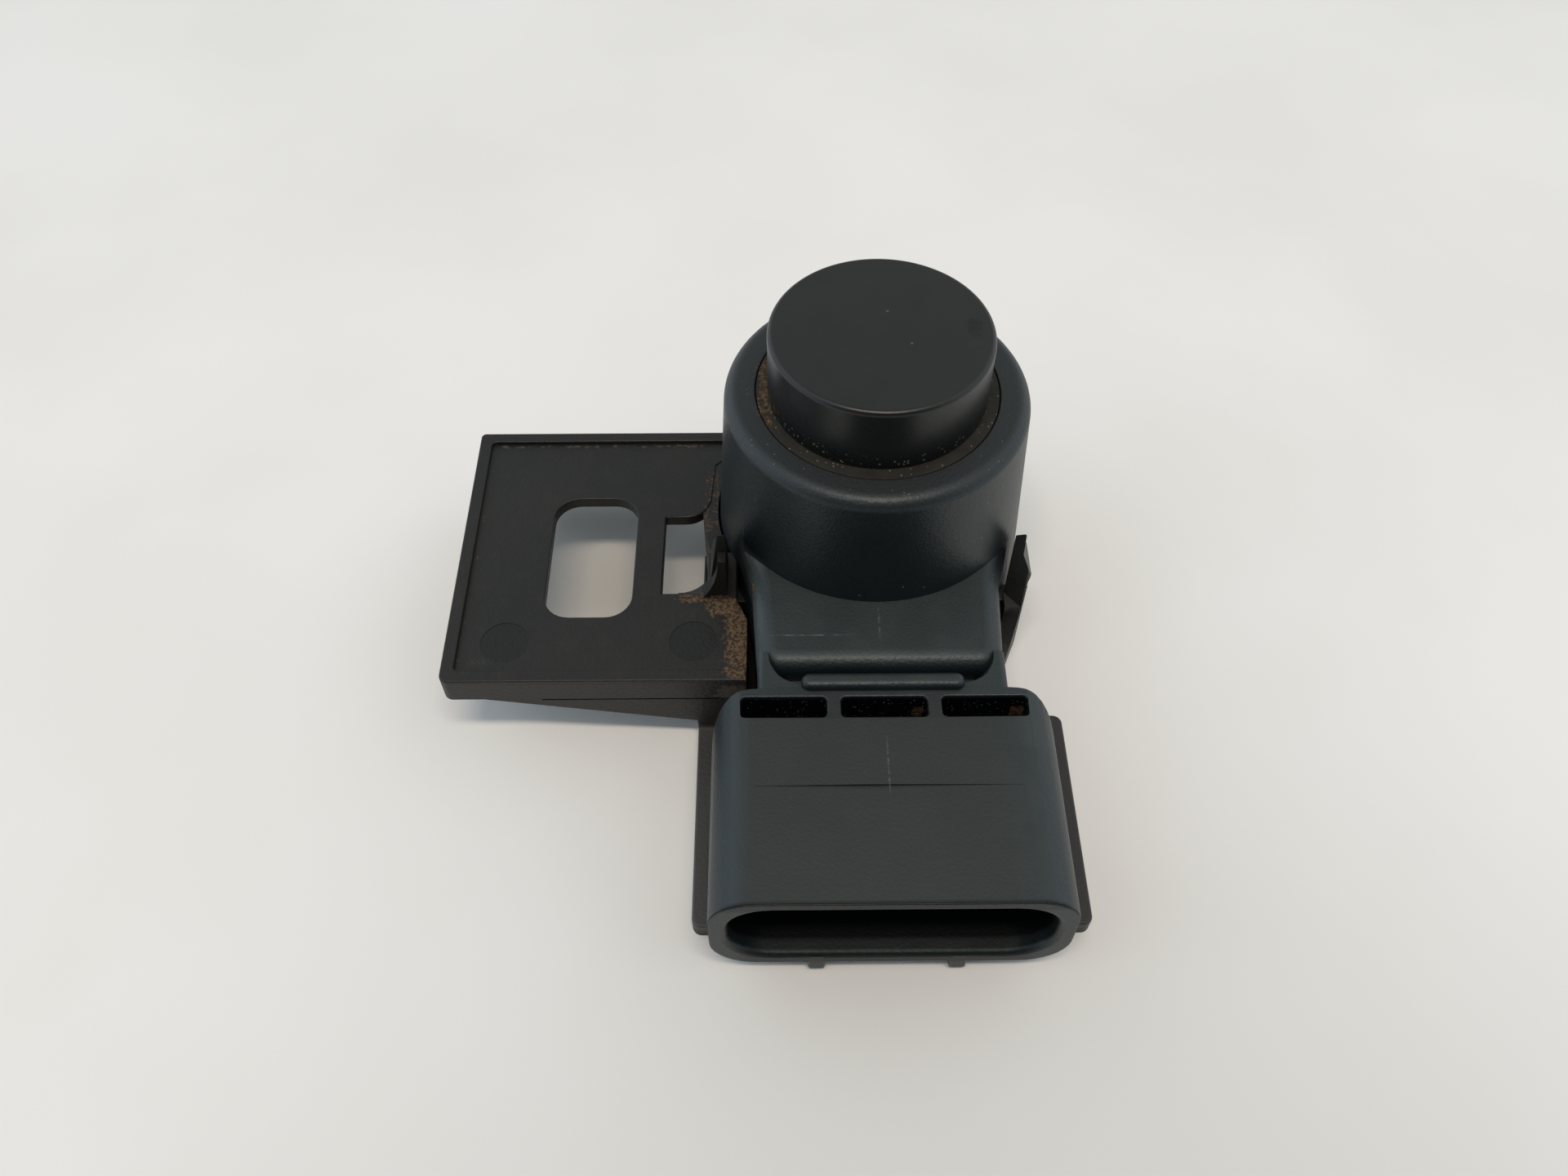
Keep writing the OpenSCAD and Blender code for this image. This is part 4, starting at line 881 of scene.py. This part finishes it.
def makeArmRoot(b):
    outer, inner = -b["leftArmX"] - b["armTip"], -b["leftArmX"] - b["hair"]
    lowZ, height = b["panelZ"] + b["hair"], b["rootH"]
    points = [(inner, lowZ), (inner, b["panelZ"] + height)]
    for sine, cosine in quarterTurn():
        points.append((outer - b["rootL"] * (1 - cosine), b["panelZ"] + height * (1 - sine)))
    points[-1] = (outer - b["rootL"], lowZ)
    return runY(points, b["rootY"], b["armY"][0] + b["rootIn"])


def makeBracket(b):
    hair = b["hair"]
    web = span((b["webX"], b["gussetY"][0] + hair, 2 * hair),
        (b["plateRightX"] - 2 * hair, b["reliefY"], b["webZ"] - hair))
    rightArm = makeArm(b, b["rightArmX"], b["ridge"])
    leftArm = mirrored(makeArm(b, b["leftArmX"], []))
    return joined(makeBase(b), makeRaisedPlate(b), makeGusset(b), web, makeCradle(b), rightArm, leftArm,
        makeArmRoot(b))


bracketFinish = blackPolypropylene(polypropylene)
finished(makeBracket(bracket), "bracketMoulding", "bracket", bracketFinish)


# Stage: pale floor, soft studio light and the camera

floorLook = {
    "size": 1.6, "z": -0.02, "tones": ("#f5f4f0", "#fbfaf8"), "toneCloud": (40, 3, 0.3, 0.7),
    "grain": 0.8, "grainDepth": 0.01, "rough": (0.6, 0.75), "shade": "#d3d2ce", "shadeAt": (8, -85, 0),
    "shadeR": 45, "under": [("#cfcdc8", (-20, 2, 0), (10, 9, 1), (3, 4, 0.5)),
        ("#a09f9b", (-22, 6, 0), (6, 2.2, 1), (3, 2, 0.5))],
}


def makeFloor(f):
    bm = bmesh.new()
    bmesh.ops.create_grid(bm, x_segments=1, y_segments=1, size=f["size"] / 2 / mm)
    bmesh.ops.translate(bm, verts=bm.verts[:], vec=(0, 0, f["z"]))
    bmesh.ops.scale(bm, verts=bm.verts[:], vec=(mm, mm, mm))
    # white card, with painted shade towards the viewer and painted shadows under the side plate
    material, tree, where = startFinish("whiteCard")
    grain = add(tree, "TexNoise", "Fac", {"Vector": where, "Scale": 1 / f["grain"], "Detail": 3})
    colour = coat(tree, *f["tones"], stain(tree, where, *f["toneCloud"]))
    colour = coat(tree, colour, f["shade"], disc(tree, where, f["shadeAt"], f["shadeR"], f["shadeR"]))
    # painted shadows on the card under the side plate
    for tint, *spot in f["under"]:
        colour = coat(tree, colour, tint, patch(tree, where, *spot))
    dress(tree, colour, f["rough"], 0.0, grain, f["grainDepth"])
    floor = asObject(bm, "floor")
    floor.data.materials.append(material)


makeFloor(floorLook)

# A long warm lamp overhead, a little towards the camera, in metres and watts
lamp = {"place": (0.0, -0.26, 0.86), "sides": (0.5, 0.08), "power": 3.3, "tint": "#fff0de"}
# The room's light: bright at both sides, dimmer at the back, above and in front
# Each side has its axis, the places on it where its tone starts and is full, and that tone
sky = {
    "middle": "#a6abae", "strength": 1.13,
    "sides": [("Z", 0.8, 0.97, "#75797c"), ("X", -0.2, -0.75, "#e6f3ff"), ("X", 0.2, 0.75, "#dbe2e8"),
        ("Y", -0.25, -0.85, "#4b5157")],
}


def makeLights():
    light = bpy.data.lights.new("lamp", "AREA")
    light.shape = "RECTANGLE"
    light.size, light.size_y = lamp["sides"]
    light.energy = lamp["power"]
    light.color = linear(lamp["tint"])[:3]
    holder = bpy.data.objects.new("lamp", light)
    holder.location = lamp["place"]
    holder.rotation_euler = (-Vector(lamp["place"])).to_track_quat("-Z", "Y").to_euler()
    bpy.context.scene.collection.objects.link(holder)
    world = bpy.data.worlds.new("room")
    world.use_nodes = True
    tree = world.node_tree
    axes = add(tree, "SeparateXYZ", 0, {0: add(tree, "TexCoord", "Generated")}).node.outputs
    tone = sky["middle"]
    for axis, start, end, tint in sky["sides"]:
        share = add(tree, "MapRange", 0, {"Value": axes[axis], "From Min": start, "From Max": end},
            interpolation_type="SMOOTHSTEP")
        tone = coat(tree, tone, tint, share)
    tree.links.new(tone, tree.nodes["Background"].inputs["Color"])
    tree.nodes["Background"].inputs["Strength"].default_value = sky["strength"]
    bpy.context.scene.world = world


makeLights()

# The camera: place in mm and its turns in degrees, found by matching the part's edges in the picture
view = {"place": (-7.24, -68.17, 88.16), "pitch": 53.12, "yaw": 0.35, "roll": 0.11, "lens": 29.79,
    "sensor": 36.0, "nearest": 5}


def makeCamera(v):
    lens = bpy.data.cameras.new("camera")
    lens.sensor_fit = "HORIZONTAL"
    lens.sensor_width = v["sensor"]
    lens.lens = v["lens"]
    lens.clip_start = v["nearest"] * mm
    camera = bpy.data.objects.new("camera", lens)
    pitch, yaw, roll = (math.radians(v[turn]) for turn in ("pitch", "yaw", "roll"))
    ahead = Vector((math.sin(yaw) * math.cos(pitch), math.cos(yaw) * math.cos(pitch), -math.sin(pitch)))
    side = Vector((math.cos(yaw), -math.sin(yaw), 0))
    down = ahead.cross(side)
    right = side * math.cos(roll) + down * math.sin(roll)
    low = down * math.cos(roll) - side * math.sin(roll)
    turn = Matrix((right, -low, -ahead)).transposed()
    camera.matrix_world = Matrix.Translation(Vector(v["place"]) * mm) @ turn.to_4x4()
    bpy.context.scene.collection.objects.link(camera)
    bpy.context.scene.camera = camera


makeCamera(view)
bpy.context.scene.view_settings.view_transform = "Standard"
print("stage set")
